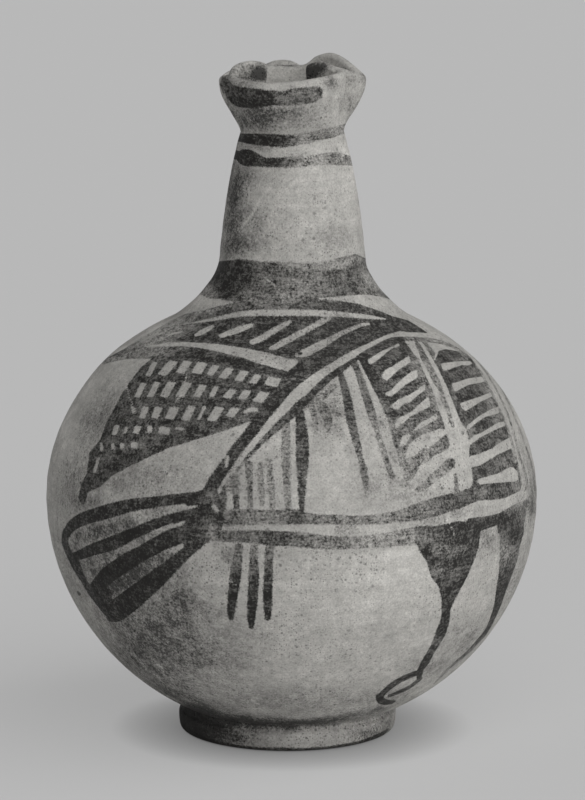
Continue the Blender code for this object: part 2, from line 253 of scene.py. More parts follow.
def close_tree(tree, grid, place, clay):
    """Set the grid's points in their places, weld the ring shut and give the mesh its clay."""
    move = tree.nodes.new("GeometryNodeSetPosition")
    link(grid, move.inputs["Geometry"])
    link(place, move.inputs["Position"])
    weld = tree.nodes.new("GeometryNodeMergeByDistance")
    weld.inputs["Distance"].default_value = WELD_GAP
    link(move.outputs[0], weld.inputs["Geometry"])
    real = tree.nodes.new("GeometryNodeRealizeInstances")
    link(weld.outputs[0], real.inputs[0])
    coat = tree.nodes.new("GeometryNodeSetMaterial")
    link(real.outputs[0], coat.inputs["Geometry"])
    link(clay, coat.inputs["Material"])
    link(coat.outputs[0], tree.nodes.new("NodeGroupOutput").inputs[0])


print("points closer than", 1000 * WELD_GAP, "mm are welded")


# %% Wheel: a node tree that turns an outline
def make_wheel():
    tree, entry, sockets = start_tree("turn_on_the_wheel", (
        ("Outline", "NodeSocketGeometry"),
        ("Columns", "NodeSocketInt"),
        ("Front Closeness", "NodeSocketFloat"),
        ("Clay", "NodeSocketMaterial"),
    ))
    outline, columns, closeness, clay = (entry.outputs[label] for label in sockets)
    grid, row, column = rows_and_columns(tree, outline, columns)
    split = tree.nodes.new("ShaderNodeSeparateXYZ")
    link(sampled(tree, outline, row, "position"), split.inputs[0])
    share = value_node(tree, "DIVIDE", column, columns)
    side = value_node(tree, "SUBTRACT", times(tree, share, 2.0), 1.0)
    cube = times(tree, side, times(tree, side, side))
    even = times(tree, side, value_node(tree, "SUBTRACT", 1.0, closeness))
    crowded = times(tree, cube, closeness)
    turn = times(tree, plus(tree, even, crowded), math.pi)
    reach = times(tree, split.outputs["X"], -1.0)
    place = tree.nodes.new("ShaderNodeCombineXYZ")
    for axis, wave in (("X", "SINE"), ("Y", "COSINE")):
        link(times(tree, reach, value_node(tree, wave, turn)), place.inputs[axis])
    link(split.outputs["Z"], place.inputs["Z"])
    close_tree(tree, grid, place.outputs[0], clay)
    return tree, sockets


wheel, wheel_sockets = make_wheel()
print("wheel tree nodes:", len(wheel.nodes))


# %% Turn one piece
def finish_mesh(mesh):
    """Weld the seams and poles, face every polygon outwards and shade it smooth."""
    build = bmesh.new()
    build.from_mesh(mesh)
    bmesh.ops.remove_doubles(build, verts=build.verts, dist=WELD_GAP)
    bmesh.ops.recalc_face_normals(build, faces=build.faces)
    build.to_mesh(mesh)
    build.free()
    mesh.polygons.foreach_set("use_smooth", np.ones(len(mesh.polygons), dtype=bool))
    mesh.update()


def shaped_piece(name, start, tree, sockets, settings):
    """What a node tree makes of the start mesh, as a plain mesh without the modifier."""
    piece = placed(name, start)
    shaping = piece.modifiers.new("shaping", "NODES")
    shaping.node_group = tree
    for label, value in settings.items():
        shaping[sockets[label]] = value
    graph = bpy.context.evaluated_depsgraph_get()
    mesh = bpy.data.meshes.new_from_object(piece.evaluated_get(graph))
    piece.modifiers.remove(shaping)
    piece.data = mesh
    finish_mesh(mesh)
    print(name, "faces", len(mesh.polygons))
    return piece


def turned_piece(name, outline, columns, closeness, clay):
    start = bpy.data.meshes.new(name + "_outline")
    start.from_pydata([(radius, 0.0, height) for radius, height in outline], [], [])
    settings = {"Columns": columns, "Front Closeness": closeness, "Clay": clay}
    return shaped_piece(name, start, wheel, wheel_sockets, settings)


print("inputs of the wheel:", ", ".join(wheel_sockets))

# %% [markdown]
# No hand-made pot is truly round. The belly leans a few tenths of a millimetre, the left shoulder swells,
# and the fingers leave faint rings. One function moves points of the two bowls and the neck by the same
# rule, so two pieces that meet at a seam still meet after it. It fades out at the foot, so the jug stands
# flat.

# %% Hand of the potter
STEADY_BELOW = 0.012
STEADY_ABOVE = 0.262
FADE_LENGTH = 0.03
OVAL_LEAN = 0.00028
OVAL_TURN = 0.7
THREE_SIDED_LEAN = 0.00016
THREE_SIDED_TURN = -1.1
TWIST_PER_METRE = 30
RING_DEPTH = 0.00006
RING_PITCH = 0.0083
RING_SLANT = 0.8
RING_FADE = 41
RING_FADE_START = 1.0
SWELL_DEPTH = 0.0013
SWELL_HEIGHT = 0.141
SWELL_TALL = 0.011
SWELL_TURN = 1.5
SWELL_WIDE = 0.45
AXIS_GUARD = 0.004


def hand_wobble(points):
    """Offsets along the radius, in metres, for an array of points of the jug."""
    turn = np.arctan2(-points[:, 0], -points[:, 1])
    height = points[:, 2]
    fade = np.clip((height - STEADY_BELOW) / FADE_LENGTH, 0.0, 1.0)
    fade *= np.clip((STEADY_ABOVE - height) / FADE_LENGTH, 0.0, 1.0)
    lean = OVAL_LEAN * np.cos(2 * turn + OVAL_TURN)
    lean += THREE_SIDED_LEAN * np.cos(3 * turn + THREE_SIDED_TURN + TWIST_PER_METRE * height)
    rings = np.sin(2 * math.pi * height / RING_PITCH + RING_SLANT * turn)
    rings *= np.sin(RING_FADE * height + RING_FADE_START)
    swell = np.exp(-((height - SWELL_HEIGHT) / SWELL_TALL) ** 2 - ((turn - SWELL_TURN) / SWELL_WIDE) ** 2)
    return fade * (lean + RING_DEPTH * rings + SWELL_DEPTH * swell)


def point_values(mesh, name):
    """The places ("co") or the normals ("normal") of a mesh's points, one row for each."""
    values = np.empty(3 * len(mesh.vertices))
    mesh.vertices.foreach_get(name, values)
    return values.reshape(-1, 3)


def move_points(mesh, points):
    mesh.vertices.foreach_set("co", points.ravel())
    mesh.update()


def apply_wobble(mesh):
    points = point_values(mesh, "co")
    radius = np.maximum(np.hypot(points[:, 0], points[:, 1]), AXIS_GUARD)
    points[:, :2] *= (1.0 + hand_wobble(points) / radius)[:, None]
    move_points(mesh, points)


belly_front = np.array([(0.0, -BELLY_RADIUS, BELLY_HEIGHT)])
print("the belly's front moves by, mm:", round(1000 * float(hand_wobble(belly_front)[0]), 2))

# %% Seams that were wiped over
SEAM_TOLERANCE = 0.00002
seam_radius, seam_height = dome_point(SEAM_ANGLE)
seam_tilt = Vector((SHOULDER_RISE * math.cos(SEAM_ANGLE), BELLY_RADIUS * math.sin(SEAM_ANGLE))).normalized()
wiped_seams = (
    (BELLY_HEIGHT, BELLY_RADIUS, (1.0, 0.0)),
    (seam_height, seam_radius, seam_tilt),
)


def outer_normals(mesh):
    """Points and normals, with the wall's own direction at the wiped seams, so that no line shows there."""
    points = point_values(mesh, "co")
    normals = point_values(mesh, "normal")
    radius = np.hypot(points[:, 0], points[:, 1])
    for height, wall_radius, tilt in wiped_seams:
        at_seam = np.abs(points[:, 2] - height) < SEAM_TOLERANCE
        at_seam &= radius > wall_radius - 0.5 * BODY_WALL
        side = points[at_seam, :2] / radius[at_seam, None]
        normals[at_seam] = np.column_stack([side * tilt[0], np.full(len(side), tilt[1])])
    return points, normals


print("seam heights, m:", round(BELLY_HEIGHT, 4), round(seam_height, 4))

# %% [markdown]
# The neck rises from the shoulder, narrows to a throat and opens into a mouth that was pinched into three
# lobes while the clay was soft. The rim is a closed curve through measured points: an angle on the throat
# circle, then the place of the rim above it. Rows between throat and rim follow a flare, as a lip bends
# over.

# %% Curve of the rim
RIM_POINTS = (
    # throat angle in degrees, then the rim's x, y and rise over the rim height, in millimetres
    (0, -3.0, -23.0, -1.6), (28, -13.5, -20.5, -1.8), (50, -21.0, -12.5, -0.8), (62, -20.5, -6.0, 2.0),
    (71, -15.5, -2.8, 3.1), (78, -11.0, -0.2, 2.1), (86, -15.5, 2.6, 0.5), (98, -22.5, 4.0, -2.6),
    (115, -25.0, 9.0, -4.2), (140, -20.0, 16.0, -2.5), (160, -9.5, 19.8, -1.9), (180, 0.5, 20.3, -2.0),
    (190, 5.0, 19.8, -1.5), (200, 9.0, 19.0, 1.5), (214, 14.5, 16.6, 3.1), (230, 20.0, 13.0, 1.0),
    (246, 25.5, 8.0, -3.3), (262, 21.5, 3.8, -1.6), (274, 13.0, 2.4, 1.0), (282, 7.0, -0.4, 1.5),
    (289, 10.5, -3.0, 3.0), (299, 16.8, -6.0, 0.8), (311, 17.2, -12.5, 0.3), (332, 8.5, -20.5, -0.5),
)
MILLIMETRE = 0.001
RIM_STEPS = 15


def rim_curve(between):
    """Throat angles in radians and rim points, with equal steps between two rim points."""
    knots = np.array(RIM_POINTS, dtype=float)
    full_turn = np.array((360.0, 0.0, 0.0, 0.0))
    wide = np.vstack([knots[-1] - full_turn, knots, knots[:2] + full_turn])
    slopes = (wide[2:, 1:] - wide[:-2, 1:]) / (wide[2:, :1] - wide[:-2, :1])
    angles, points = [], []
    for i in range(len(knots)):
        start, end = wide[i + 1], wide[i + 2]
        span = end[0] - start[0]
        for t in np.arange(between) / between:
            angles.append(start[0] + span * t)
            points.append(
                (2 * t**3 - 3 * t**2 + 1) * start[1:]
                + (t**3 - 2 * t**2 + t) * span * slopes[i]
                + (3 * t**2 - 2 * t**3) * end[1:]
                + (t**3 - t**2) * span * slopes[i + 1]
            )
    return np.radians(angles), np.array(points) * MILLIMETRE + (0.0, 0.0, RIM_HEIGHT)


rim_angles, rim_points = rim_curve(RIM_STEPS)
print("rim points:", len(rim_points))

# %% Profile of the neck
FLARE_ROWS = 60
CONE_ROWS = 70
NECK_BASE_SLOPE = -0.09
THROAT_SLOPE = -0.29
FLARE_PULL = 0.26
CONE_PULL = 0.33
SMALL_TURN = 0.01


def bezier(start, first_pull, last_pull, end, count):
    t = np.linspace(0.0, 1.0, count)[:, None]
    ends = (1 - t) ** 3 * np.array(start) + t**3 * np.array(end)
    return ends + 3 * t * (1 - t) ** 2 * np.array(first_pull) + 3 * t**2 * (1 - t) * np.array(last_pull)


def directions(line):
    """Unit steps along a line of points, one for each point."""
    along = np.gradient(line, axis=0)
    return along / np.linalg.norm(along, axis=1, keepdims=True)


def right_hand(along):
    """The directions that lie to the right of flat steps, which is outwards for a rising profile."""
    return np.stack([along[:, 1], -along[:, 0]], axis=1)


def neck_profile(flare_steps, cone_steps):
    """Outer face of the neck, (radius, height), from the shoulder seam up to the throat."""
    seam = np.array(dome_point(SEAM_ANGLE))
    rising = np.array((dome_point(SEAM_ANGLE + SMALL_TURN) - dome_point(SEAM_ANGLE)).normalized())
    base = seam + (NECK_BASE_RADIUS - NECK_SEAM_RADIUS, NECK_BASE_RISE)
    upright = np.array(Vector((NECK_BASE_SLOPE, 1.0)).normalized())
    throat = np.array((THROAT_RADIUS, THROAT_HEIGHT))
    closing = np.array(Vector((THROAT_SLOPE, 1.0)).normalized())
    pull = FLARE_PULL * np.linalg.norm(base - seam)
    stretch = CONE_PULL * NECK_LENGTH
    flare = bezier(seam, seam + pull * rising, base - pull * upright, base, flare_steps)
    cone = bezier(base, base + stretch * upright, throat - stretch * closing, throat, cone_steps)
    return np.vstack([flare, cone[1:]])


print("points of the neck's profile:", len(neck_profile(FLARE_ROWS, CONE_ROWS)))

# %% Rows of the neck and the mouth
MOUTH_ROWS = 48
THROAT_SHARE = 12 / 19
LIP_BEND = 1.15


def neck_rows():
    """Middle points, outward normals, rising directions and wall thickness of each row."""
    profile = neck_profile(FLARE_ROWS, CONE_ROWS)
    below = np.linspace(0, THROAT_SHARE, len(profile))
    above = np.linspace(THROAT_SHARE, 1, MOUTH_ROWS + 1)[1:]
    wall = BODY_WALL + (LIP_WALL - BODY_WALL) * np.concatenate([below, above])
    middle = profile - 0.5 * wall[: len(profile), None] * right_hand(directions(profile))
    circle = np.stack([-np.sin(rim_angles), -np.cos(rim_angles)], axis=1)
    rows = [np.column_stack([radius * circle, np.full(len(circle), height)]) for radius, height in middle]
    throat = rows[-1]
    for step in range(1, MOUTH_ROWS + 1):
        share = step / MOUTH_ROWS
        bend = math.sin(0.5 * math.pi * share**LIP_BEND)
        rows.append(throat + (rim_points - throat) * (bend, bend, share))
    rows = np.array(rows)
    around = np.roll(rows, -1, axis=1) - np.roll(rows, 1, axis=1)
    rising = np.gradient(rows, axis=0)
    outward = np.cross(rising, around)
    outward /= np.linalg.norm(outward, axis=2, keepdims=True)
    rising /= np.linalg.norm(rising, axis=2, keepdims=True)
    return rows, outward, rising, wall


print("rows of the neck and the mouth:", len(neck_rows()[0]))

# %% Wall of the neck and the mouth
LIP_TURNS = np.radians(range(15, 180, 15))
OUTER_LIP_ROWS = 5
FINE_INNER_ROWS = 30
INNER_ROW_STEP = 5


def looped_mesh(name, rows, outer_rows=0):
    """A closed surface through rows of points: each row is a ring, and the last row joins the first."""
    count, around = rows.shape[:2]
    index = np.arange(count * around).reshape(count, around)
    ahead = np.roll(index, -1, axis=1)
    faces = np.stack([index, ahead, np.roll(ahead, -1, axis=0), np.roll(index, -1, axis=0)], axis=-1)
    mesh = bpy.data.meshes.new(name)
    mesh.from_pydata(rows.reshape(-1, 3).tolist(), [], faces.reshape(-1, 4).tolist())
    if outer_rows:
        side = mesh.attributes.new("outer_side", "FLOAT", "POINT")
        side.data.foreach_set("value", (np.arange(count * around) < outer_rows * around).astype(np.float32))
    finish_mesh(mesh)
    return mesh


def looped_piece(name, mesh, clay):
    piece = placed(name, mesh)
    mesh.materials.append(clay)
    print(name, "faces", len(mesh.polygons))
    return piece


def neck_mesh(name):
    """The outer face up to the rim, round over the lip, and down the inner face with fewer rows."""
    rows, outward, rising, wall = neck_rows()
    half = 0.5 * wall[:, None, None]
    outer = rows + half * outward
    lip = [
        rows[-1] + half[-1] * (math.cos(turn) * outward[-1] + math.sin(turn) * rising[-1])
        for turn in LIP_TURNS
    ]
    inner = (rows - half * outward)[::-1]
    last = len(inner) - 1
    keep = np.r_[0:FINE_INNER_ROWS, np.arange(FINE_INNER_ROWS, last, INNER_ROW_STEP), last]
    wall_rows = np.concatenate([outer, np.array(lip), inner[keep]])
    return looped_mesh(name, wall_rows, len(rows) + OUTER_LIP_ROWS)


print("rows over the lip:", len(LIP_TURNS))

# %% [markdown]
# The handle is a roll of clay, bent from the back of the mouth down to the shoulder. A roll follows a path,
# so Geometry Nodes lay an oval section along the path's points. Each path point carries the direction that
# the section's thickness takes, and its two half sizes, so the roll can swell towards its ends.


# %% Roller: a node tree that lays an oval section along a path
def make_roller():
    tree, entry, sockets = start_tree("roll_along_path", (
        ("Path", "NodeSocketGeometry"),
        ("Sides", "NodeSocketInt"),
        ("Clay", "NodeSocketMaterial"),
    ))
    path, sides, clay = (entry.outputs[label] for label in sockets)
    grid, row, column = rows_and_columns(tree, path, sides)
    turn = times(tree, value_node(tree, "DIVIDE", column, sides), 2.0 * math.pi)
    place = sampled(tree, path, row, "position")
    for name, wave in (("thick_way", "SINE"), ("wide_way", "COSINE")):
        way = scaled(tree, sampled(tree, path, row, name), value_node(tree, wave, turn))
        add = tree.nodes.new("ShaderNodeVectorMath")
        link(place, add.inputs[0])
        link(way, add.inputs[1])
        place = add.outputs[0]
    close_tree(tree, grid, place, clay)
    return tree, sockets


roller, roller_sockets = make_roller()
print("roller tree nodes:", len(roller.nodes))

# %% Path of the handle
HANDLE_WIDTH = 0.0160
HANDLE_THICKNESS = 0.0104
HANDLE_TURN = math.radians(7.0)
HANDLE_DROP = 0.0047
HANDLE_LIFT = 0.0115
HANDLE_REACH = 0.0560
HANDLE_ROOT_RADIUS = 0.0550
HANDLE_STEPS = 120
TOP_IN_LIP = 0.15
ROOT_IN_WALL = 0.6
UPPER_BEND_REACH = 0.93
LOWER_BEND_REACH = 1.04
LOWER_BEND_RISE = 0.57
END_SWELL = 0.14
FINGER_RIPPLE = 0.012
RIPPLE_WAVES = 9.0
RIPPLE_START = 0.5

handle_ahead = np.array((-math.sin(HANDLE_TURN), math.cos(HANDLE_TURN), 0.0))
handle_aside = np.array((math.cos(HANDLE_TURN), math.sin(HANDLE_TURN), 0.0))
rim_back = rim_points[np.argmin(np.abs(rim_angles - math.pi))]
root_inside = dome_point(bowl_angle(HANDLE_ROOT_RADIUS), ROOT_IN_WALL * BODY_WALL)
handle_top = (rim_back[1] - TOP_IN_LIP * LIP_WALL, rim_back[2] - HANDLE_DROP)
handle_path = bezier(
    handle_top,
    (UPPER_BEND_REACH * HANDLE_REACH, handle_top[1] + HANDLE_LIFT),
    (LOWER_BEND_REACH * HANDLE_REACH, root_inside.y + LOWER_BEND_RISE * (handle_top[1] - root_inside.y)),
    tuple(root_inside),
    HANDLE_STEPS,
)
handle_share = np.linspace(-1.0, 1.0, HANDLE_STEPS)
ripple = np.sin(RIPPLE_WAVES * handle_share + RIPPLE_START)
handle_swell = 1.0 + END_SWELL * handle_share**4 + FINGER_RIPPLE * ripple


def in_handle_plane(flat):
    """Points (reach, height) of the handle's upright plane, in the jug's frame."""
    return flat[:, :1] * handle_ahead + flat[:, 1:] * (0.0, 0.0, 1.0)


handle_points = in_handle_plane(handle_path)
thick_way = in_handle_plane(right_hand(directions(handle_path)))
thick_way *= (0.5 * HANDLE_THICKNESS * handle_swell)[:, None]
wide_way = handle_aside * (0.5 * HANDLE_WIDTH * handle_swell)[:, None]
handle_length = float(np.linalg.norm(np.diff(handle_path, axis=0), axis=1).sum())
print("handle path, mm:", round(1000 * handle_length, 1))

# %% Roll the handle
ROUND_END = (0.0, 0.35, 0.75, 0.95)


def rolled_piece(name, sides, clay):
    """The roll along the handle's path, with a few smaller sections that round off each end."""
    order = [0] * len(ROUND_END) + list(range(HANDLE_STEPS)) + [-1] * len(ROUND_END)
    shrink = np.array([*ROUND_END, *np.ones(HANDLE_STEPS), *ROUND_END[::-1]])[:, None]
    path = bpy.data.meshes.new(name + "_path")
    path.from_pydata(handle_points[order].tolist(), [], [])
    for label, values in (("thick_way", thick_way), ("wide_way", wide_way)):
        store = path.attributes.new(label, "FLOAT_VECTOR", "POINT")
        store.data.foreach_set("vector", (values[order] * shrink).ravel())
    return shaped_piece(name, path, roller, roller_sockets, {"Sides": sides, "Clay": clay})


print("inputs of the roller:", ", ".join(roller_sockets))

# %% [markdown]
# Where the handle meets the rim and the shoulder, the potter pressed a little wet clay into the corner.
# Each wad is a collar: rings that start on the handle and curve out on to the wall, like a fillet with
# thumb marks. A Boolean union with a rounded edge would break the separate pieces, so it is built ring by
# ring.

# %% Pressed wads at the ends of the handle
WAD_SIDES = 96
WAD_ROWS = 22
THUMB_DEPTH = 0.10
BROAD_DENTS = 3
SMALL_DENTS = 7
WAD_HIDDEN_SIZE = 0.90
WAD_CORNER_SIZE = 1.04
WAD_CORNER_PULL = 0.72
WAD_CORE_PULL = 0.6
WAD_EDGE_DEPTH = 0.0002
WAD_BURIED_DEPTH = 0.0009
wad_turns = np.linspace(0.0, 2.0 * math.pi, WAD_SIDES + 1)[:-1]


def handle_section(step, scale):
    """A ring round the handle's path, as wide as the roll times the scale."""
    thick = np.outer(np.sin(wad_turns) * scale, thick_way[step])
    wide = np.outer(np.cos(wad_turns) * scale, wide_way[step])
    return handle_points[step] + thick + wide


def pressed_wad(name, leave_at, foot_at, spread_by, target, clay, thumb_turn):
    """A collar from step leave_at of the handle out to the target's face round step foot_at."""
    thumb = 1.0 + THUMB_DEPTH * np.sin(BROAD_DENTS * wad_turns + thumb_turn)
    thumb += 0.5 * THUMB_DEPTH * np.sin(SMALL_DENTS * wad_turns + 2 * thumb_turn)
    start = handle_section(leave_at, 1.0)
    leave = handle_points[foot_at] - handle_points[leave_at]
    foot_ring = handle_section(foot_at, 1.0 + spread_by * thumb)
    near = [target.find_nearest(Vector(point))[:2] for point in foot_ring]
    edge = np.array([place - WAD_EDGE_DEPTH * normal for place, normal in near])
    buried = np.array([place - WAD_BURIED_DEPTH * normal for place, normal in near])
    corner_ring = handle_section(foot_at, WAD_CORNER_SIZE)
    corner = np.array([target.find_nearest(Vector(point))[0] for point in corner_ring])
    pull = WAD_CORNER_PULL * corner + (1 - WAD_CORNER_PULL) * (start + leave)
    rings = [handle_section(leave_at, WAD_HIDDEN_SIZE)]
    for t in np.linspace(0.0, 1.0, WAD_ROWS):
        rings.append((1 - t) ** 2 * start + 2 * t * (1 - t) * pull + t**2 * edge)
    rings.append(buried)
    rings.append(WAD_CORE_PULL * corner + (1 - WAD_CORE_PULL) * handle_points[foot_at])
    return looped_piece(name, looped_mesh(name, np.array(rings)), clay)


print("sides and rows of a wad:", WAD_SIDES, WAD_ROWS)

# %% [markdown]
# The decoration is a traditional one: bands round the neck, hatched arcs on the shoulder, and on the belly
# a bird with a chequered wing, a fanned tail and two legs, all laid on with a loaded brush in dark slip.
# Each stroke is written as the painter would make it: the places that the brush passes, in pixels of the
# photograph's frame, with the width of the mark there, and sometimes how much slip was left in the brush.
# Light marks are places that were left bare. They are kept in order, since later marks cover earlier ones.

# %% Brush marks are collected in order
marks = []
scratches = []
# soft clouds of soil, of painted shade and of painted light, each with its middle, half width, half height
# and amount
soil_and_painted_light_clouds = []
mouth_painted_shade = []
back_stains = []
worn_and_painted_light = []


def brush(points, ink):
    """A stroke of dark slip: x, y, width and, where it differs from the rest, the ink."""
    marks.append(("stroke", False, points, ink))


def fill(points, ink):
    """A dark field between its corners."""
    marks.append(("patch", False, points, ink))


def bare(points):
    """A stroke left free of slip."""
    marks.append(("stroke", True, points, 0.0))


def bare_patch(points):
    """A field left free of slip."""
    marks.append(("patch", True, points, 0.0))


def scratch(points):
    """A thin pale line scored through paint and slip."""
    bare(points)
    scratches.append(points)


def lay_on(table):
    """Lay on the marks of a table in order: the kind of mark, its ink if it is dark, and its points."""
    for make_mark, *ink, points in table:
        make_mark(points, *ink)


print("marks before the first stroke:", len(marks))

# %% [markdown]
# The potter turned the jug slowly and held a loaded brush against it, so the bands of the neck run nearly
# level and grow paler as the brush empties towards the right. A ring of colour in the material would be
# quicker, but it would be even all round, so each band is a stroke with its own widths. Inside the curls
# of the mouth's front lobes, where the clay folds over, painted shade darkens the clay.

# %% Bands of the lip and the neck
NECK_BANDS = (
    # band under the lip
    (fill, 0.72, ((219.5, 84), (222, 76), (228, 79), (233, 85), (247, 88.5), (262, 90), (275, 90.5),
     (283, 92), (288, 89.5), (300, 88), (314, 86.5), (320, 86.5), (323, 91), (322, 97.5), (316, 101.5),
     (305, 104.5), (288, 106), (272, 105.5), (262, 107.5), (250, 108.5), (242, 107), (236, 104), (230, 98),
     (223, 93))),
    # full brush at the left of that band
    (brush, 0.95, ((233, 94, 15, 0.85), (240, 97, 20), (249, 98, 20), (258, 98, 18), (268, 98, 15, 0.9),
     (277, 98, 13, 0.8))),
    # upper ring of the throat
    (brush, 0.95, ((236, 137, 8), (243, 138, 9), (255, 139.3, 11.5), (270, 140.3, 12.5),
     (284, 141, 12.7, 0.85), (297, 139.7, 11, 0.55), (310, 137.5, 10.5, 0.5), (323, 134.8, 11, 0.55),
     (335, 131.5, 10, 0.5), (346, 128, 9, 0.5))),
    # lower ring of the throat
    (brush, 0.95, ((233, 154, 9), (240, 156, 10), (246, 157.5, 17), (254, 159.5, 14), (263, 162, 10),
     (272, 162.5, 9.5), (285, 162.5, 10.5, 0.85), (298, 161.3, 11, 0.42), (308, 160.8, 11, 0.2),
     (320, 159.5, 11, 0.46), (335, 158.5, 12.5, 0.55), (345, 160, 11, 0.55), (352, 161.5, 9, 0.5))),
    # broad band at the foot of the neck
    (fill, 0.76, ((214, 262), (240, 259), (261, 261.4), (299, 263), (319, 263), (330, 260.7), (341, 257),
     (349, 255), (356, 254), (366, 258.6), (374, 266), (386, 284), (398, 301.5), (380, 296.4), (370, 295),
     (357, 294.7), (347, 295.7), (333, 297), (319, 298), (316, 310), (236, 310), (233, 301.4),
     (226, 300.7), (213, 297), (199, 294.5), (206, 278))),
    # full brush at the left of it
    (brush, 0.97, ((206, 289, 12), (214, 282, 34), (226, 279, 36), (238, 277, 32, 0.92),
     (250, 276, 28, 0.84), (262, 276, 26, 0.76))),
    # scratch in the broad band
    (bare, ((265, 278, 1.2), (272, 283, 1.8), (278.6, 289.3, 1.2))),
    # pale gap over the shoulder
    (bare, ((321, 299.3, 1.2), (334, 299, 2), (350, 299, 3.2), (362, 300, 6))),
)
lay_on(NECK_BANDS)
# rubbed places of the bands; the last five pale the paint along the upper left outline as painted light
NECK_BAND_WEAR_AND_PAINTED_LIGHT = (
    (252, 292, 14, 8, 0.15), (305, 270, 10, 9, 0.25), (336, 263, 14, 6, 0.5), (302, 284, 26, 9, 0.28),
    (375, 282, 9, 16, 0.4), (285, 297, 24, 5, 0.3), (298, 264, 24, 6, 0.45), (352, 260, 10, 5, 0.4),
    (368, 276, 7, 12, 0.4), (270, 304, 40, 5, 0.3), (150, 336, 26, 15, 0.8), (178, 322, 17, 10, 0.55),
    (202, 306, 18, 10, 0.7), (206, 291, 10, 8, 0.65), (160, 352, 22, 7, 0.35),
)
worn_and_painted_light.extend(NECK_BAND_WEAR_AND_PAINTED_LIGHT)
# painted shade inside the curls of the mouth's front lobes, where the clay folds over
MOUTH_PAINTED_SHADE = (
    (262, 73, 8, 8, 1.6), (254, 77, 9, 5, 0.8), (244, 76, 18, 8, 0.55), (232, 80, 8, 10, 0.4),
    (314, 69, 10, 7.5, 1.6), (246, 66, 12, 4, 0.5), (308, 75, 6, 7, 1.0), (326, 66, 6, 5, 0.6),
)
mouth_painted_shade.extend(MOUTH_PAINTED_SHADE)
BACK_LOBE_SOIL = (
    (286, 65, 16, 2.6, 0.8), (290, 74, 24, 5, -0.3),
)
back_stains.extend(BACK_LOBE_SOIL)
print("marks after the neck:", len(marks))

# %% [markdown]
# Over the shoulder lies a dark crescent, the bird's folded back, with pale lines left open in it. It was
# painted round the lines, not over them, so here too the dark ground comes first and the pale lines are
# taken out of it.

# %% Arcs and hatching of the shoulder
SHOULDER_ARCS = (
    # dark ground of the crescent
    (fill, 0.88, ((107, 358), (125, 348.5), (141, 338), (155, 330), (167, 323), (182, 315), (201, 310),
     (233, 303), (262, 300), (319, 299.7), (340, 300.6), (360, 304.3), (376, 309.7), (393, 316.3),
     (408, 320.3), (420, 327.7), (428, 333), (420, 333.5), (400, 331), (386, 335), (373, 341), (360, 347),
     (346, 354), (333, 362), (320, 370), (306, 379), (300, 366), (290, 359), (275, 355), (259, 351),
     (244, 348), (222, 344.5), (204, 343), (185, 342), (167, 342.5), (150, 346), (130, 352))),
    # long pale arc
    (bare, ((188.5, 323.5, 1), (204, 321, 2.5), (222, 317.5, 4), (241, 314, 5.4), (259, 312.9, 6.2),
     (280, 312.7, 6.6), (300, 312.8, 6.3), (320, 313.2, 6.3), (340, 314.3, 5.3), (360, 316, 4.6),
     (373, 317.5, 3.5), (385, 319, 1.5))),
    # hatches, from the left; the first is almost gone
    (bare, ((170, 334.6, 2), (182, 331.5, 1.5))),
    (bare, ((196, 335, 3), (203, 331.5, 5), (213, 326.5, 3))),
    (bare, ((221, 336, 4), (232, 332, 6), (243, 328, 6), (252, 325, 4))),
    (bare, ((252, 342, 5), (258, 340, 6), (270, 333, 6), (282, 326, 5), (290, 321.5, 3.5))),
    (bare, ((271, 348, 4), (275, 347, 5.5), (285, 341.5, 6.5), (300, 333.5, 6), (312, 327, 5.5),
     (322, 321.5, 6), (328, 318, 6))),
    (bare, ((297, 355, 4), (305, 353, 8), (316, 347.5, 8.5), (328, 341, 6.5), (338, 335, 5),
     (350, 329.5, 4), (361, 325, 3.5), (369, 324, 2))),
    # drop of slip in the last hatch
    (brush, 0.9, ((299, 353.7, 3), (301, 353.7, 3))),
    # dark line under the crescent
    (brush, 0.9, ((104, 362.5, 4, 0.45), (112, 359, 6, 0.5), (125, 355, 9, 0.65), (141, 353, 11, 0.8),
     (165, 353, 13), (187, 353.5, 12), (205, 356, 11), (228, 361, 10), (250, 366, 9), (270, 371, 8),
     (288, 377, 8))),
)
lay_on(SHOULDER_ARCS)
print("marks after the shoulder:", len(marks))

# %% [markdown]
# The wing is a dark field with small slanting windows in six rows. They are alike but never equal, since
# the hand made them one by one. A checker texture would be too regular, so a short table gives each window
# its top, its bottom and its width, and one loop makes the four corners.

# %% Chequered wing
WING_FIELD = (
    # dark field of the wing
    (fill, 0.82, ((150, 360), (165, 347), (182, 346), (198, 347.5), (213, 350.5), (228, 354), (244, 358),
     (259, 363.5), (275, 368), (290, 372), (308, 378), (293, 391), (280, 404), (263, 421), (248, 421.7),
     (222, 431.7), (198, 439), (170, 447.5), (148, 457.5), (130, 466), (113, 475), (100, 487),
     (87.5, 492.5), (85, 503), (82.5, 506), (78, 498), (81, 485), (87, 473), (89, 453), (100, 440),
     (107, 421), (115, 407), (121, 395), (130, 382), (141, 367))),
    # pale arc over the wing
    (bare, ((143, 346.5, 1), (160, 345, 2), (182, 344, 3.3), (198, 345, 4.5), (213, 347, 6), (228, 350, 8),
     (244, 353, 9.8), (259, 357, 11.5), (275, 361.5, 12.3), (285, 364, 12), (290.5, 363.4, 9),
     (296, 362, 4.5))),
    # dark end of that arc
    (fill, 0.88, ((300, 361), (312, 368), (312, 380), (290, 375), (288.5, 371))),
)
lay_on(WING_FIELD)
WINDOW_TILT = 0.10
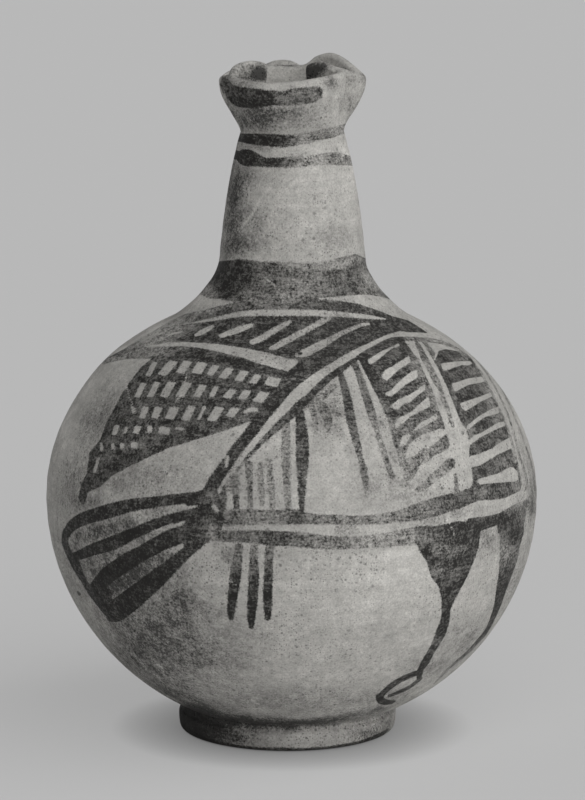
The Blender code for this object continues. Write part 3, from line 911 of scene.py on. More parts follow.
WING_WINDOWS = (
    # top x and y, bottom x and y, width
    ((155, 362, 148, 376, 5), (174, 361, 161.5, 375, 9), (188, 361, 180, 373, 8),
     (203, 362.5, 196, 373.5, 10), (216.5, 365.5, 209.5, 375, 7), (230, 368, 222.5, 378, 8),
     (245, 371, 238, 381, 8), (258.5, 374.5, 252.5, 383.5, 7), (275, 377.5, 270.5, 386, 13)),
    ((143.5, 383, 137, 397.5, 5.5), (157.5, 382, 150, 397, 6), (172, 382, 163.5, 397, 8),
     (188, 382.5, 179.5, 397, 8), (203, 385, 196.5, 397, 7), (216.5, 386.5, 211, 397, 5),
     (233, 389.5, 226.5, 398, 8), (247.5, 390, 242, 399, 8), (265, 392, 257.5, 402, 10)),
    ((132, 406, 134, 414, 3), (146, 406.5, 142, 418, 6), (159, 407, 154.5, 418, 7),
     (175, 407, 169, 419, 9), (192, 406, 185, 420.5, 8), (204.6, 406.5, 198.5, 420, 3),
     (220, 407, 211, 421, 9), (236, 408, 229, 417, 8)),
    ((117, 425, 114, 435, 5), (127, 427, 124, 434, 3), (138, 426, 135.5, 433.5, 6),
     (150, 425.5, 149.5, 433, 5), (165, 427, 163.5, 434, 11), (181, 427.5, 179, 430, 8)),
    ((101, 442.5, 102, 451.7, 3), (112.5, 443, 113, 450, 3.5), (122, 443, 122, 449, 4.5),
     (134.5, 442, 134.5, 448.5, 7)),
    ((99, 457, 94, 473, 3), (106, 458, 111, 459, 2.5), (101, 471, 101, 472, 3),
     (111.7, 466, 111.7, 467.4, 3)),
)
for row in WING_WINDOWS:
    for top_x, top_y, low_x, low_y, wide in row:
        half, drop = 0.5 * wide, WINDOW_TILT * wide
        bare_patch(((top_x - half, top_y - drop), (top_x + half, top_y + drop),
                    (low_x + half, low_y + drop), (low_x - half, low_y - drop)))
WING_FLAWS = (
    # scratch through two windows
    (bare, ((178, 398, 2), (175, 404, 1.2))),
    # last window of the third row
    (bare, ((245, 411.5, 3.5), (251, 409.5, 4.5), (257, 410, 3.5))),
)
lay_on(WING_FLAWS)
print("marks after the wing:", len(marks))

# %% [markdown]
# A double stripe runs down from the shoulder to the root of the tail, and under it hangs a comb of upright
# teeth. The brush ran dry along the comb, so the ink falls from tooth to tooth.

# %% Slanting stripe and comb of the bird's back
STRIPE_AND_COMB = (
    # dark stripe
    (brush, 0.93, ((300, 383, 12), (288, 392, 14), (275, 405, 16), (262, 419, 14), (250, 433, 12),
     (238, 448, 12), (228, 462, 12), (219, 475, 13), (211, 488, 13), (207, 499, 13), (205, 515, 18))),
    # smudge at the root of the comb
    (fill, 0.5, ((226, 480), (233, 470), (241, 465), (240.5, 478), (239, 490), (233, 492), (226, 491))),
    # thin stripe beside it
    (brush, 0.9, ((402, 339, 5), (392, 339.5, 5), (380, 344, 6), (365, 351.5, 6), (350, 362, 7),
     (336, 372, 8), (325, 381, 8), (312, 394, 7), (300, 405, 9), (290, 415, 9), (277, 427, 8, 0.8),
     (264, 439, 7, 0.7), (252, 451, 6, 0.6), (240, 464, 6, 0.55), (231, 476, 5, 0.5))),
    # teeth of the comb, from the left
    (brush, 0.75, ((224, 487, 4), (223.5, 497, 6), (223.5, 510, 6))),
    (brush, 0.66, ((235.5, 478, 6), (236, 492, 6.5), (236.5, 508, 6))),
    (brush, 0.6, ((248.5, 464, 7), (249.5, 480, 6.5), (250.5, 508, 5))),
    (brush, 0.48, ((260.5, 464, 5), (261, 485, 6.5), (262, 504, 5))),
    (brush, 0.4, ((269, 461, 5), (271, 485, 7), (273, 508, 5.5))),
    # pale stroke before the edge
    (brush, 0.56, ((286, 425, 8), (286, 450, 9), (286.5, 475, 8), (288.5, 508, 6.5))),
    # dark edge of the comb
    (brush, 0.88, ((299, 405, 7), (300.5, 420, 10), (302, 440, 13), (302.5, 460, 13), (302, 478, 9, 0.8),
     (302, 490, 8), (301.5, 501, 6), (302, 510, 5))),
    # gap beside the dark edge
    (bare, ((293, 438, 3), (293, 460, 4), (293.5, 490, 5))),
    # smudges over the breast
    (brush, 0.9, ((306, 405, 9, 0.42), (314, 399, 13, 0.48), (324, 393, 10, 0.42), (334, 386, 6, 0.34))),
    (brush, 0.9, ((320, 404, 9, 0.52), (325, 412, 11, 0.58), (328, 420, 9, 0.5), (328, 430, 6, 0.32))),
    (brush, 0.9, ((312, 407, 6, 0.48), (315, 420, 6, 0.36), (316, 432, 4, 0.25))),
)
lay_on(STRIPE_AND_COMB)
# a wash of slip over the breast, and darker places over the arcs of the shoulder under the neck
BACK_WASH_AND_DARKENING = (
    (334, 405, 8, 24, 0.4), (320, 420, 10, 18, 0.45), (335, 322, 24, 20, 0.3), (280, 362, 18, 8, 0.25),
    (285, 335, 40, 16, 0.25), (325, 356, 26, 16, 0.3),
)
soil_and_painted_light_clouds.extend(BACK_WASH_AND_DARKENING)
print("marks after the comb:", len(marks))

# %% [markdown]
# The breast is filled with two ladders. In the first, the rungs were left bare between short dark strokes;
# in the second, broad pale gaps part a dark field. Rungs made as rounded strokes looked like fingers, so
# each is a small outline with corners. Thin lines follow the ladders and run over the right side of the
# jug.

# %% Ladders of the bird's breast
FIRST_LADDER = (
    # lines of the breast
    (brush, 0.9, ((340.5, 374, 6, 0.85), (346.5, 395, 8.5, 0.85), (350, 415, 9.5, 0.82),
     (354, 432, 8.5, 0.8), (358.5, 450, 7, 0.58), (361.5, 462, 6, 0.52), (364, 472, 7.5, 0.75),
     (366, 485, 5, 0.4), (367, 497, 4, 0.25))),
    (brush, 0.9, ((353, 360, 7, 0.9), (358, 372, 6.5, 0.8), (363, 387, 7.5, 0.72), (368, 402, 8.5, 0.72),
     (372, 415, 8.5, 0.66), (376, 428, 6, 0.45), (381, 444, 6, 0.48), (386.5, 460, 6, 0.5),
     (392, 477, 6, 0.55))),
    # dark field of the first ladder
    (fill, 0.84, ((357, 357), (366, 352), (380, 344), (392, 340), (404, 340), (419, 361), (432, 389),
     (442, 417), (450, 445), (446, 454), (424, 471), (414, 480), (409, 478), (401, 452), (393, 422),
     (383, 397), (370, 371))),
    # loose stroke at its lower end
    (brush, 0.9, ((418, 488.5, 6, 0.34), (424, 486, 8, 0.42), (431, 480, 8, 0.5), (437, 475, 9, 0.5),
     (444, 469.5, 10, 0.6), (450.5, 463, 10, 0.85))),
    # left rail
    (brush, 0.9, ((362, 357, 9, 0.95), (370, 371, 10, 0.95), (377, 384, 11, 0.9), (383, 397, 10, 0.82),
     (388, 409, 9, 0.76), (393, 422, 9, 0.62), (397, 437, 10, 0.75), (401, 452, 8, 0.58),
     (405, 466, 9, 0.6), (408, 478, 7, 0.4))),
    # pale corner at the top
    (bare, ((371, 361, 6), (380, 355, 5), (386, 351, 3.2), (392, 347.5, 2.4), (398.5, 345, 2.8))),
)
lay_on(FIRST_LADDER)
FIRST_LADDER_WEAR = (
    (425, 452, 26, 20, 0.42), (408, 466, 14, 16, 0.4), (432, 424, 16, 16, 0.2), (400, 424, 14, 12, 0.15),
    (417, 362, 5, 10, 0.3), (424, 378, 6, 10, 0.32), (430, 392, 6, 10, 0.32), (436, 406, 6, 12, 0.3),
)
worn_and_painted_light.extend(FIRST_LADDER_WEAR)
FIRST_LADDER_RUNGS = (
    ((381, 377), (385, 370), (392, 366.5), (409, 355.5), (411, 362), (398, 370), (387, 381)),
    ((385, 393), (392, 389.5), (398, 382.5), (410, 372.5), (417, 369.5), (418, 377), (404, 386),
     (392, 396), (386, 396)),
    ((390, 406.5), (398, 399.5), (410, 394.5), (425, 384), (425.5, 389.5), (416, 396.5), (410, 402.5),
     (404, 404), (398, 409.5), (393, 408.5)),
    ((395, 424), (398, 418.5), (410, 412.5), (429, 396), (430.5, 406.5), (422, 410.5), (410, 417),
     (398, 427.5), (395, 428)),
    ((413.5, 430), (422, 421.5), (437, 414), (437.5, 419), (422, 427.5), (416, 430.5)),
    ((399, 444.5), (403, 435.5), (409, 433.5), (411, 435.5), (405, 446), (400, 447)),
    ((406, 452), (410, 443.5), (422, 434.5), (440, 428.5), (446, 429.5), (447, 433.5), (428, 449),
     (422, 448), (416, 455.5), (406, 458.5)),
    ((411, 482), (422, 462.5), (428, 461), (434, 455.5), (450, 449), (451, 455), (440, 465.5),
     (428, 477.5), (416, 488), (411, 490)),
)
for outline in FIRST_LADDER_RUNGS:
    bare_patch(outline)
print("marks after the first ladder:", len(marks))

# %% Lines between the ladders
MIDDLE_LINES = (
    # drop of slip on a rung
    (brush, 0.8, ((426.6, 437.2, 3), (428.8, 438.4, 3))),
    # left middle line
    (brush, 0.9, ((417.5, 344, 5, 0.6), (421.5, 352, 6.5, 0.62), (425, 360, 7.5, 0.65),
     (431, 370, 6.5, 0.55), (435.5, 380, 7, 0.62), (441, 390, 4.5, 0.5), (443.5, 400, 5.2, 0.5),
     (448, 410, 4.4, 0.42), (450.5, 420, 4.2, 0.42), (453, 427, 3.2, 0.3))),
    # pale line at its left
    (bare, ((408, 341, 5), (411.5, 345, 5), (416.5, 352, 3.6), (420.3, 360, 2.6), (425.5, 370, 3.6),
     (429.6, 380, 3), (435, 390, 5.2), (438, 400, 4.5), (442.3, 410, 6), (445.6, 420, 5.4),
     (449.5, 430, 6), (452, 437, 7))),
    # right middle line
    (brush, 0.9, ((424, 341.5, 3, 0.6), (426, 345, 4.6, 0.65), (431.5, 352, 4.8, 0.62),
     (436.5, 360, 6, 0.7), (442, 370, 6.5, 0.62), (448, 380, 7.5, 0.75), (453, 390, 6.2, 0.6),
     (456.5, 400, 7.5, 0.8), (460, 410, 5.5, 0.58), (464, 418, 7, 0.85), (467, 425, 5.5, 0.55))),
    # pale line between the two
    (bare, ((419.5, 341, 3), (423, 346, 3), (427.5, 354, 3.4), (431, 360, 3), (436.5, 370, 3.8),
     (441.5, 380, 4), (446.7, 390, 5.2), (449.2, 400, 4.8), (454, 410, 6.2), (456.7, 420, 7),
     (459, 429, 8))),
    # pale patch at the lower end
    (bare, ((452, 431, 7), (457, 438, 13), (459.5, 446, 16), (461, 455, 15), (463, 462, 14),
     (463.5, 470, 15), (464, 478, 15), (465, 485, 12))),
    # stub in that patch
    (brush, 0.62, ((455.5, 475, 3.4), (456, 482, 4.2), (456.5, 489, 5))),
    # drop of slip in that patch
    (brush, 0.6, ((462.5, 432, 3), (463, 434, 3))),
)
lay_on(MIDDLE_LINES)
print("marks after the middle lines:", len(marks))

# %% Second ladder
SECOND_LADDER = (
    # dark field of the second ladder
    (fill, 0.84, ((438, 351), (446, 349), (466, 353), (472, 359), (487, 384), (503, 416), (508, 432),
     (511, 448), (518, 468), (522, 484), (520, 491), (504, 498.5), (490, 500), (472, 500.5), (470.5, 490),
     (473, 481), (472, 470), (469, 462), (469.5, 445), (466, 428), (461.5, 424), (454, 405), (447, 387),
     (439, 370), (436, 362))),
)
lay_on(SECOND_LADDER)
SECOND_LADDER_GAPS = (
    ((441, 363.5), (456, 361.5), (470, 361), (473, 363.5), (468, 365.5), (462, 365), (446, 370.5),
     (443, 371)),
    ((452, 383.5), (468, 378.5), (482, 376.5), (486, 381.5), (468, 385), (457, 391), (454, 391.5)),
    ((460, 403), (468, 400.5), (480, 396.5), (492, 391.5), (494, 395.5), (480, 402), (465, 411.5),
     (462, 408.5)),
    ((467, 425.5), (480, 415.5), (492, 408.5), (499, 406.5), (502, 410), (498, 413.5), (486, 416.5),
     (474, 424.5), (467, 431)),
    ((466, 441), (470, 439.5), (474, 435.5), (480, 433.5), (498, 422.5), (504, 422), (507, 425),
     (498, 428.5), (480, 437.5), (470, 445), (466, 445)),
    ((468, 457), (480, 453.5), (492, 448.5), (498, 443.5), (509, 438), (513, 440), (514, 447),
     (498, 454.5), (480, 465.5), (468, 468)),
    ((476, 481), (480, 478.5), (498, 473.5), (510, 467), (513.5, 467.5), (519, 473), (519, 478.5),
     (516, 481.5), (498, 482.5), (480, 484.5)),
)
for outline in SECOND_LADDER_GAPS:
    bare_patch(outline)
SECOND_LADDER_WEAR = (
    (464, 356, 6, 6, 0.4), (474, 372, 7, 7, 0.3), (486, 389, 7, 7, 0.35), (492, 402, 6, 8, 0.35),
    (498, 418, 8, 6, 0.35), (502, 435, 8, 8, 0.15), (470, 435, 5, 6, 0.3), (505, 460, 12, 8, 0.25),
    (485, 493, 12, 6, 0.22), (520, 486, 6, 8, 0.4),
)
worn_and_painted_light.extend(SECOND_LADDER_WEAR)
print("marks after the second ladder:", len(marks))

# %% Lines along the outline of the breast
BREAST_LINES = (
    # scratch at the top corner
    (bare, ((438, 350, 2), (436.5, 354, 2.4), (434.5, 359, 1.8))),
    # lines round the breast, the last at the outline
    (brush, 0.9, ((398, 339.3, 4, 0.8), (410, 338.8, 4.4, 0.62), (420, 339.6, 4.6, 0.6),
     (430, 340.2, 4.4, 0.56), (440, 342, 4, 0.5), (450, 345.3, 3.2, 0.46), (460, 350.5, 2.6, 0.42),
     (470, 359, 2.4, 0.42), (480, 371.5, 2.4, 0.42), (490, 389, 2.4, 0.42), (497, 404, 2.4, 0.4),
     (503, 417, 2.4, 0.4), (509, 433, 2.4, 0.4), (514, 450, 2.4, 0.4), (518, 468, 2.6, 0.45),
     (520, 480, 2.6, 0.45))),
    (brush, 0.9, ((466, 349, 1.8, 0.35), (480, 364, 2, 0.35), (492, 382, 2, 0.35), (501, 399, 2, 0.38),
     (508, 415, 2, 0.38), (514, 434, 2, 0.38), (519.5, 455, 2.2, 0.42), (524.5, 471, 2.6, 0.48),
     (527, 482, 2.6, 0.48), (526, 490, 2.2, 0.4))),
    (brush, 0.9, ((498, 381, 1.6, 0.3), (508, 402, 1.8, 0.32), (518, 425, 1.8, 0.32),
     (526, 447, 1.8, 0.34), (533, 470, 2, 0.4), (535, 490, 2.4, 0.42))),
    # long pale line from the breast to the tail
    (bare, ((230, 475, 2), (237, 466, 2.5), (245, 455, 4), (258, 438, 6), (272, 421, 8), (283, 409.5, 9.5),
     (293, 398, 10.5), (307, 385.5, 11), (320, 375.3, 8.5), (334, 366, 7), (347, 358.5, 6.5),
     (360, 350.5, 5.5), (374, 343, 4.5), (388, 336.8, 3.5), (399, 335, 3.2), (413, 334, 3.6),
     (428, 335, 3.4), (437, 336.8, 3), (447, 339.8, 3), (457, 344.5, 2.8), (467, 352, 2.6),
     (476, 361.5, 2.2))),
    # bare place at the stripe
    (bare, ((227.5, 457, 3.5), (226, 466, 3.5))),
)
lay_on(BREAST_LINES)
print("marks after the breast:", len(marks))

# %% [markdown]
# Two level bands close the bird's body below. The brush was lifted and set down again, so they are dark,
# then thin, then dark. The ink of each place of the stroke says how much slip was left in the brush there.

# %% Double band under the body
BODY_BANDS = (
    # upper and lower band
    (brush, 0.9, ((222, 517, 14, 0.66), (240, 517.5, 15, 0.62), (260, 517.5, 15, 0.52),
     (280, 517.5, 15, 0.55), (296, 517, 15, 0.8), (306, 518, 11, 0.72), (320, 519.5, 10, 0.55),
     (340, 520, 10, 0.55), (360, 520, 9, 0.5), (380, 519, 10, 0.4), (400, 516, 12, 0.5),
     (415, 512.5, 16, 0.6), (430, 508.5, 18, 0.68), (445, 504, 18, 0.74), (460, 500, 16, 0.78),
     (472, 495, 15, 0.8))),
    (brush, 0.9, ((206, 536, 9, 0.85), (224, 536, 11, 0.8), (245, 536.5, 12, 0.75), (261, 537.5, 14, 0.78),
     (280, 538.5, 15, 0.82), (300, 540, 15, 0.65), (320, 542, 14, 0.6), (340, 543, 13, 0.58),
     (355, 542.5, 12, 0.46), (370, 541.5, 13, 0.4), (385, 540, 14, 0.4), (400, 538, 16, 0.45),
     (415, 536, 18, 0.52))),
    # pale line between the two
    (bare, ((213.6, 529.5, 2), (243, 528, 2.5), (280, 528, 4), (300, 530, 5), (338.5, 530.4, 7),
     (354, 532.7, 6), (380, 529.6, 8), (398.5, 525.8, 6), (446, 519, 5.5), (458, 515.5, 7),
     (472, 511.2, 10), (486, 509.2, 12.5), (500, 506.6, 11.5), (512, 502, 9), (523, 496, 7))),
)
lay_on(BODY_BANDS)
print("marks after the bands:", len(marks))

# %% [markdown]
# The tail is a fan of four feathers, closed at the left by a curved edge. Each feather is one stroke that
# swells and shrinks, as a round brush makes it when it is pressed and lifted.

# %% Fanned tail
TAIL_FEATHERS = (
    # feathers, from the top
    (brush, 0.93, ((198, 497, 11), (180, 499, 11), (155, 502, 11.5), (130, 505.5, 13), (113, 510, 14.5),
     (97, 514.5, 14), (82, 519.5, 13), (73, 525, 11), (68.5, 530, 9), (66, 535, 8))),
    (brush, 0.93, ((190, 514, 10), (170, 519.5, 11), (150, 527, 12), (130, 536, 14), (110, 544, 14),
     (92, 550, 12), (81, 554.5, 10), (75.5, 556, 8))),
    (brush, 0.93, ((188, 531, 16), (172, 538, 18), (155, 546, 17), (138, 555, 17), (122, 565, 17),
     (108, 575, 17), (98, 585, 14))),
    (brush, 0.93, ((198, 544, 10), (185, 554, 12), (172, 565, 15), (160, 576, 18), (147, 587, 20),
     (133, 598, 22), (118, 610, 22), (112, 616, 12))),
    # dark lower corner
    (fill, 0.9, ((84, 584), (92, 585), (109, 588.6), (114, 591), (106, 617), (98, 607), (88, 594))),
    # edge of the fan
    (brush, 0.88, ((66.5, 532, 8), (64.8, 540, 7), (66.2, 547, 6), (70, 555, 7), (75.5, 564, 9),
     (79, 572, 7.5), (83.5, 580, 6), (88, 588, 6))),
    # pit beside the edge
    (brush, 0.75, ((78, 592, 2.4), (79.4, 594.5, 2.8))),
    # knot where the feathers meet
    (fill, 0.93, ((184, 494), (201, 490.5), (208, 484), (216, 488), (224, 506), (222, 530), (210, 541),
     (198, 550), (184, 548), (182, 532), (188, 512))),
    # pale gaps between the feathers
    (bare, ((196, 506.5, 2), (192, 507, 3), (170, 511.5, 4.5), (150, 514.5, 6), (136, 517, 8),
     (126, 520, 7))),
    (bare, ((180, 525.5, 2), (172, 526, 4), (160, 530.5, 5), (148, 536.5, 6), (138, 542, 8),
     (128, 547.5, 7), (118, 552, 5))),
    (bare, ((173, 549, 4), (166, 553.5, 7), (160, 556, 4), (152, 559, 2))),
    (bare, ((146, 567, 6), (138, 572, 7), (128, 577, 5), (118, 583, 3))),
    # bare place at the knot
    (bare, ((214, 506, 4), (217, 511, 4))),
)
lay_on(TAIL_FEATHERS)
TAIL_WEAR = (
    (214, 533, 9, 12, 0.5), (210, 497, 7, 7, 0.3), (190, 540, 9, 8, 0.15),
)
worn_and_painted_light.extend(TAIL_WEAR)
TAIL_SOIL = (
    (95, 534, 26, 9, 0.5), (112, 530, 22, 8, 0.4), (135, 520, 30, 10, 0.5), (150, 536, 26, 9, 0.55),
    (155, 558, 24, 12, 0.7), (100, 560, 36, 36, 0.3), (138, 574, 30, 16, 0.5), (92, 570, 16, 14, 0.2),
    (104, 562, 16, 10, 0.2), (165, 511, 18, 5, 0.45), (132, 574, 18, 9, 0.6), (118, 585, 14, 8, 0.6),
    (75, 548, 10, 12, 0.3), (118, 553, 14, 8, 0.35),
)
soil_and_painted_light_clouds.extend(TAIL_SOIL)
print("marks after the tail:", len(marks))

# %% [markdown]
# Three short strokes hang under the body, and two legs stand on the lower bowl: a broad thigh, a thin shank
# and a looped foot. The right leg runs along the outline of the jug, so it is seen almost edge on.

# %% Three strokes under the body and the two legs
STROKES_AND_LEGS = (
    # three strokes, from the left
    (brush, 0.95, ((239, 547, 8, 0.62), (237.5, 560, 9.5, 0.72), (235.6, 574, 11.5, 0.85),
     (233.5, 590, 10.5), (232, 603, 9.5), (231, 614, 7.5), (231, 618, 5))),
    (brush, 0.95, ((254, 547, 7.5, 0.58), (254, 560, 9, 0.68), (253.8, 574, 10.5, 0.8), (253, 592, 10.5),
     (252, 606, 10), (251.5, 620, 7.5), (251.3, 627, 5))),
    (brush, 0.97, ((269.5, 547, 8, 0.62), (268.8, 560, 9, 0.7), (268.3, 574, 9, 0.85), (267.7, 592, 9.5),
     (267.7, 607, 8.5), (267.7, 618, 6))),
    # thigh of the left leg
    (fill, 0.93, ((414, 526), (439, 525.8), (457, 521), (473, 522), (482, 522.7), (497, 518), (500, 524),
     (480.4, 531), (479, 546), (474, 561), (468, 575), (462, 587), (454, 601), (449, 613), (442, 601),
     (439, 587), (431, 576.5), (426.5, 561), (420, 552), (415, 540))),
    # shank of the left leg
    (brush, 0.95, ((446, 602, 9), (445.5, 618, 9), (441, 632, 10), (436.5, 642, 8, 0.75),
     (431, 652, 7, 0.85), (426.5, 660, 7.5), (421, 669, 6), (419, 677, 5))),
    # upper line of its foot
    (brush, 0.93, ((419, 672, 5), (402, 679, 5.5), (391, 686, 5.5), (383.5, 692.7, 5.5), (379, 698, 6))),
    # lower line of its foot
    (brush, 0.88, ((421, 678, 3.4), (411, 686, 3.4), (399, 692, 3.4), (389, 696, 3))),
    # toe of its foot
    (brush, 0.95, ((378.5, 696.5, 5.5), (380.5, 700, 8), (385.5, 702, 6), (391, 702.2, 4), (395, 701, 2))),
    # top of the right leg
    (brush, 0.9, ((470, 521.5, 7), (485, 520.5, 8), (500, 517, 8), (512, 511, 9, 0.8), (520, 507, 9, 0.6),
     (526, 503.5, 8, 0.5))),
    # thigh of the right leg
    (fill, 0.9, ((499, 516), (512, 510), (522, 505), (526, 512), (524, 524), (522, 535), (498, 534),
     (497, 522))),
    # shank of the right leg
    (brush, 0.93, ((512, 530, 24), (510, 545, 20, 0.75), (508.5, 558, 18, 0.75), (505, 575, 13),
     (501, 590, 10), (497.5, 605, 7), (491, 622, 4.5), (485, 633, 4), (477, 642, 3.5, 0.75),
     (468, 652, 3, 0.7), (456, 662, 2.5, 0.6), (445, 672, 2, 0.5), (434, 684, 1.5, 0.4))),
)
lay_on(STROKES_AND_LEGS)
LEG_WEAR = (
    (446, 551, 11, 6, 0.45), (424, 536, 14, 8, 0.35), (437, 541, 8, 6, 0.08), (450, 572, 8, 6, 0.2),
    (436, 572, 6, 6, 0.35), (462, 549, 4, 4, 0.25), (524, 512, 6, 12, 0.35), (503, 552, 6, 12, 0.4),
    (520, 508, 12, 10, 0.25), (430, 510, 16, 5, 0.2),
)
worn_and_painted_light.extend(LEG_WEAR)
print("marks after the legs:", len(marks))

# %% [markdown]
# Painted shade darkens the groove between the bowl and the foot, where the bowl curves in, and the left of
# the foot is dark with dark slip and painted shade. Soil and painted shade are soft clouds, not strokes: a
# middle, a width, a height and an amount.

# %% Painted shade in the groove over the foot, and the worn, shaded foot
GROOVE_STEP = 13
# painted shade where the bowl curves in over the foot
GROOVE_PAINTED_SHADE = (
    # x, y, height and amount
    (192, 712, 9, 1.2), (206, 716, 8, 1.1), (222, 719, 7, 1.0), (238, 721, 6.5, 1.0), (254, 722.5, 6, 1.0),
    (270, 723.5, 6, 1.0), (286, 724, 6, 1.0), (302, 723.5, 5.5, 1.0), (318, 722.5, 5, 0.9),
    (334, 720.5, 5, 0.8), (350, 717.5, 4.5, 0.7), (366, 713.5, 4, 0.6), (380, 709, 3.5, 0.5),
)
for x, y, high, amount in GROOVE_PAINTED_SHADE:
    soil_and_painted_light_clouds.append((x, y, GROOVE_STEP, high, amount))
FOOT_MARKS_AND_PAINTED_SHADE = (
    # dark line where the foot stands: a dark ring with painted contact shadow
    (brush, 0.93, ((178, 721, 4), (190, 732, 4.5), (205, 739.5, 4.5), (230, 745.5, 4), (260, 749, 4),
     (282, 750.5, 6), (296, 750.5, 5), (320, 749.5, 5), (345, 746.5, 5.5), (365, 741.5, 5), (380, 735, 4),
     (388, 729.5, 2.5, 0.7))),
    # dark left side of the foot: dark slip with painted shade
    (brush, 0.9, ((184, 716, 18, 0.7), (194, 722, 20, 0.66), (206, 728, 18, 0.52), (220, 732, 14, 0.36),
     (236, 736, 10, 0.22))),
)
lay_on(FOOT_MARKS_AND_PAINTED_SHADE)
# soil, with painted shade on the left of the foot and along its lower right edge
FOOT_SOIL_AND_PAINTED_SHADE = (
    (192, 728, 22, 20, 1.6), (220, 735, 22, 12, 0.8), (245, 738, 20, 9, 0.5), (380, 724, 14, 10, 0.3),
    (368, 734, 22, 6, 0.6), (386, 722, 9, 9, 0.35),
)
soil_and_painted_light_clouds.extend(FOOT_SOIL_AND_PAINTED_SHADE)
print("marks after the foot:", len(marks))

# %% [markdown]
# The jug lay in the ground for a long time. Fine scratches cut through paint and slip, and grey soil is
# left in clouds. Other clouds are painted shade, and those whose amount is below zero make the clay paler:
# painted light along the upper left outline, and paler places on the neck and the lower belly. They were
# placed one after another.

# %% Scratches, old soil, and painted shade and light
SCRATCH_LINES = (
    ((270, 187, 1.8), (265, 193, 2.0), (260, 200, 1.8), (254, 211, 2.2), (247, 220, 2.0), (242, 227, 1.6)),
    ((125, 376, 1.3), (128, 392, 1.4), (132, 403, 1.3), (137, 412, 1.2)),
    ((187, 374, 1.3), (184, 386, 1.4), (179, 400, 1.2)),
    ((251, 699, 1.5), (254, 701, 1.6), (258, 704, 1.4)),
    ((364, 696, 1.2), (366, 706, 1.2)),
    ((157, 664, 1.3), (162, 668, 1.3), (164, 674, 1.2)),
    ((228, 572, 1.2), (230, 580, 1.3), (236, 585, 1.2)),
    ((446, 518, 1.2), (452, 528, 1.3), (455, 536, 1.2)),
)
for line in SCRATCH_LINES:
    scratch(line)
# soil; painted shade on the left of the neck, under the lip, along the right outline and low on the belly
# over the foot; amounts below zero make the clay paler: painted light along the upper left outline, and paler
# places on the neck and the lower belly
OLD_SOIL_AND_PAINTED_LIGHT = (
    (162, 630, 46, 40, 0.62), (150, 672, 44, 26, 0.2), (130, 650, 36, 34, 0.36), (180, 598, 15, 24, 0.6),
    (207, 612, 20, 9, 0.3), (168, 695, 22, 11, 0.45), (90, 383, 16, 26, -0.5), (66, 425, 11, 34, -0.5),
    (120, 353, 20, 12, -0.5), (94, 424, 16, 18, 0.45), (74, 480, 14, 26, 0.3), (104, 400, 14, 14, 0.25),
    (160, 327, 22, 12, -0.5), (200, 300, 18, 12, -0.5), (342, 328, 16, 18, 0.3), (530, 440, 9, 40, 0.3),
    (533, 505, 7, 14, 0.5), (525, 508, 7, 7, 0.4), (240, 187, 9, 24, 0.35), (238, 247, 16, 8, 0.4),
    (236, 124, 6, 16, -0.4), (220, 87, 5, 12, -0.45), (252, 147, 14, 4, 0.5), (331, 82, 7, 6, 0.9),
    (347, 152, 5, 14, -0.35), (337, 122, 6, 12, -0.35), (228, 72, 6, 6, 0.4), (227, 558, 7, 9, 0.5),
    (340, 418, 6, 18, 0.35), (383, 424, 6, 10, 0.5), (372, 490, 14, 14, 0.3), (425, 487, 16, 8, 0.3),
    (488, 536, 9, 8, 0.35), (290, 650, 150, 40, 0.12), (166, 690, 20, 10, 0.2), (403, 522, 14, 10, 0.3),
    (348, 538, 14, 14, 0.25), (85, 502, 22, 7, 0.35), (430, 668, 28, 13, 0.42), (466, 640, 22, 16, 0.3),
    (515, 588, 12, 28, 0.3), (398, 695, 22, 8, 0.35), (536, 490, 7, 30, 0.35), (228, 526, 14, 4, 0.5),
    (345, 530, 14, 5, 0.45), (386, 545, 12, 5, 0.3), (405, 492, 16, 13, 0.35), (394, 460, 7, 20, 0.3),
    (430, 520, 20, 7, 0.3), (250, 178, 24, 12, 0.3), (258, 222, 16, 14, 0.35), (250, 243, 14, 10, 0.5),
    (352, 182, 7, 36, -0.3), (285, 114, 26, 8, 0.5), (262, 114, 16, 9, 0.4), (240, 84, 14, 5, 0.5),
    (335, 58, 10, 5, 0.55), (322, 57, 8, 4, 0.25), (312, 64, 5, 5, 0.3), (352, 80, 5, 8, 0.25),
    (364, 80, 4, 10, 0.35), (341, 104, 3, 12, 0.3), (350, 101, 3, 10, 0.35), (358, 105, 8, 14, 0.15),
    (120, 600, 30, 30, 0.4), (205, 660, 50, 24, 0.4), (75, 470, 26, 60, 0.15), (105, 400, 26, 40, 0.2),
    (140, 478, 55, 20, 0.42), (330, 480, 30, 40, -0.2), (400, 560, 30, 30, -0.15), (80, 560, 26, 60, 0.15),
    (300, 700, 110, 12, 0.4), (231, 215, 11, 60, 0.85), (230, 120, 10, 26, 0.35), (252, 120, 24, 14, 0.92),
    (300, 120, 30, 9, 0.3), (224, 88, 8, 16, 0.5), (330, 238, 22, 14, 0.25), (452, 508, 28, 10, 0.4),
    (486, 540, 14, 18, 0.35), (500, 640, 40, 40, 0.3), (530, 560, 16, 60, 0.25), (385, 600, 80, 60, -0.3),
    (310, 668, 70, 26, -0.25),
)
soil_and_painted_light_clouds.extend(OLD_SOIL_AND_PAINTED_LIGHT)
print("brush marks:", len(marks), "clouds of soil:", len(soil_and_painted_light_clouds), "rubbed places:", len(worn_and_painted_light))

# %% [markdown]
# The strokes reach the clay as two numbers on each point of the mesh: the distance to the nearest painted
# edge (below zero inside a mark) and the strength of the slip there. A distance stays sharp at any zoom,
# and the material can roughen the edge with noise. A point beyond the outline of the jug has its mark
# tapered off, and the bands of the neck go right round.

# %% From a brush mark to distances
STROKE_STEP = 1.2
THINNEST_MARK = 0.8
VERY_FAR = 1e9


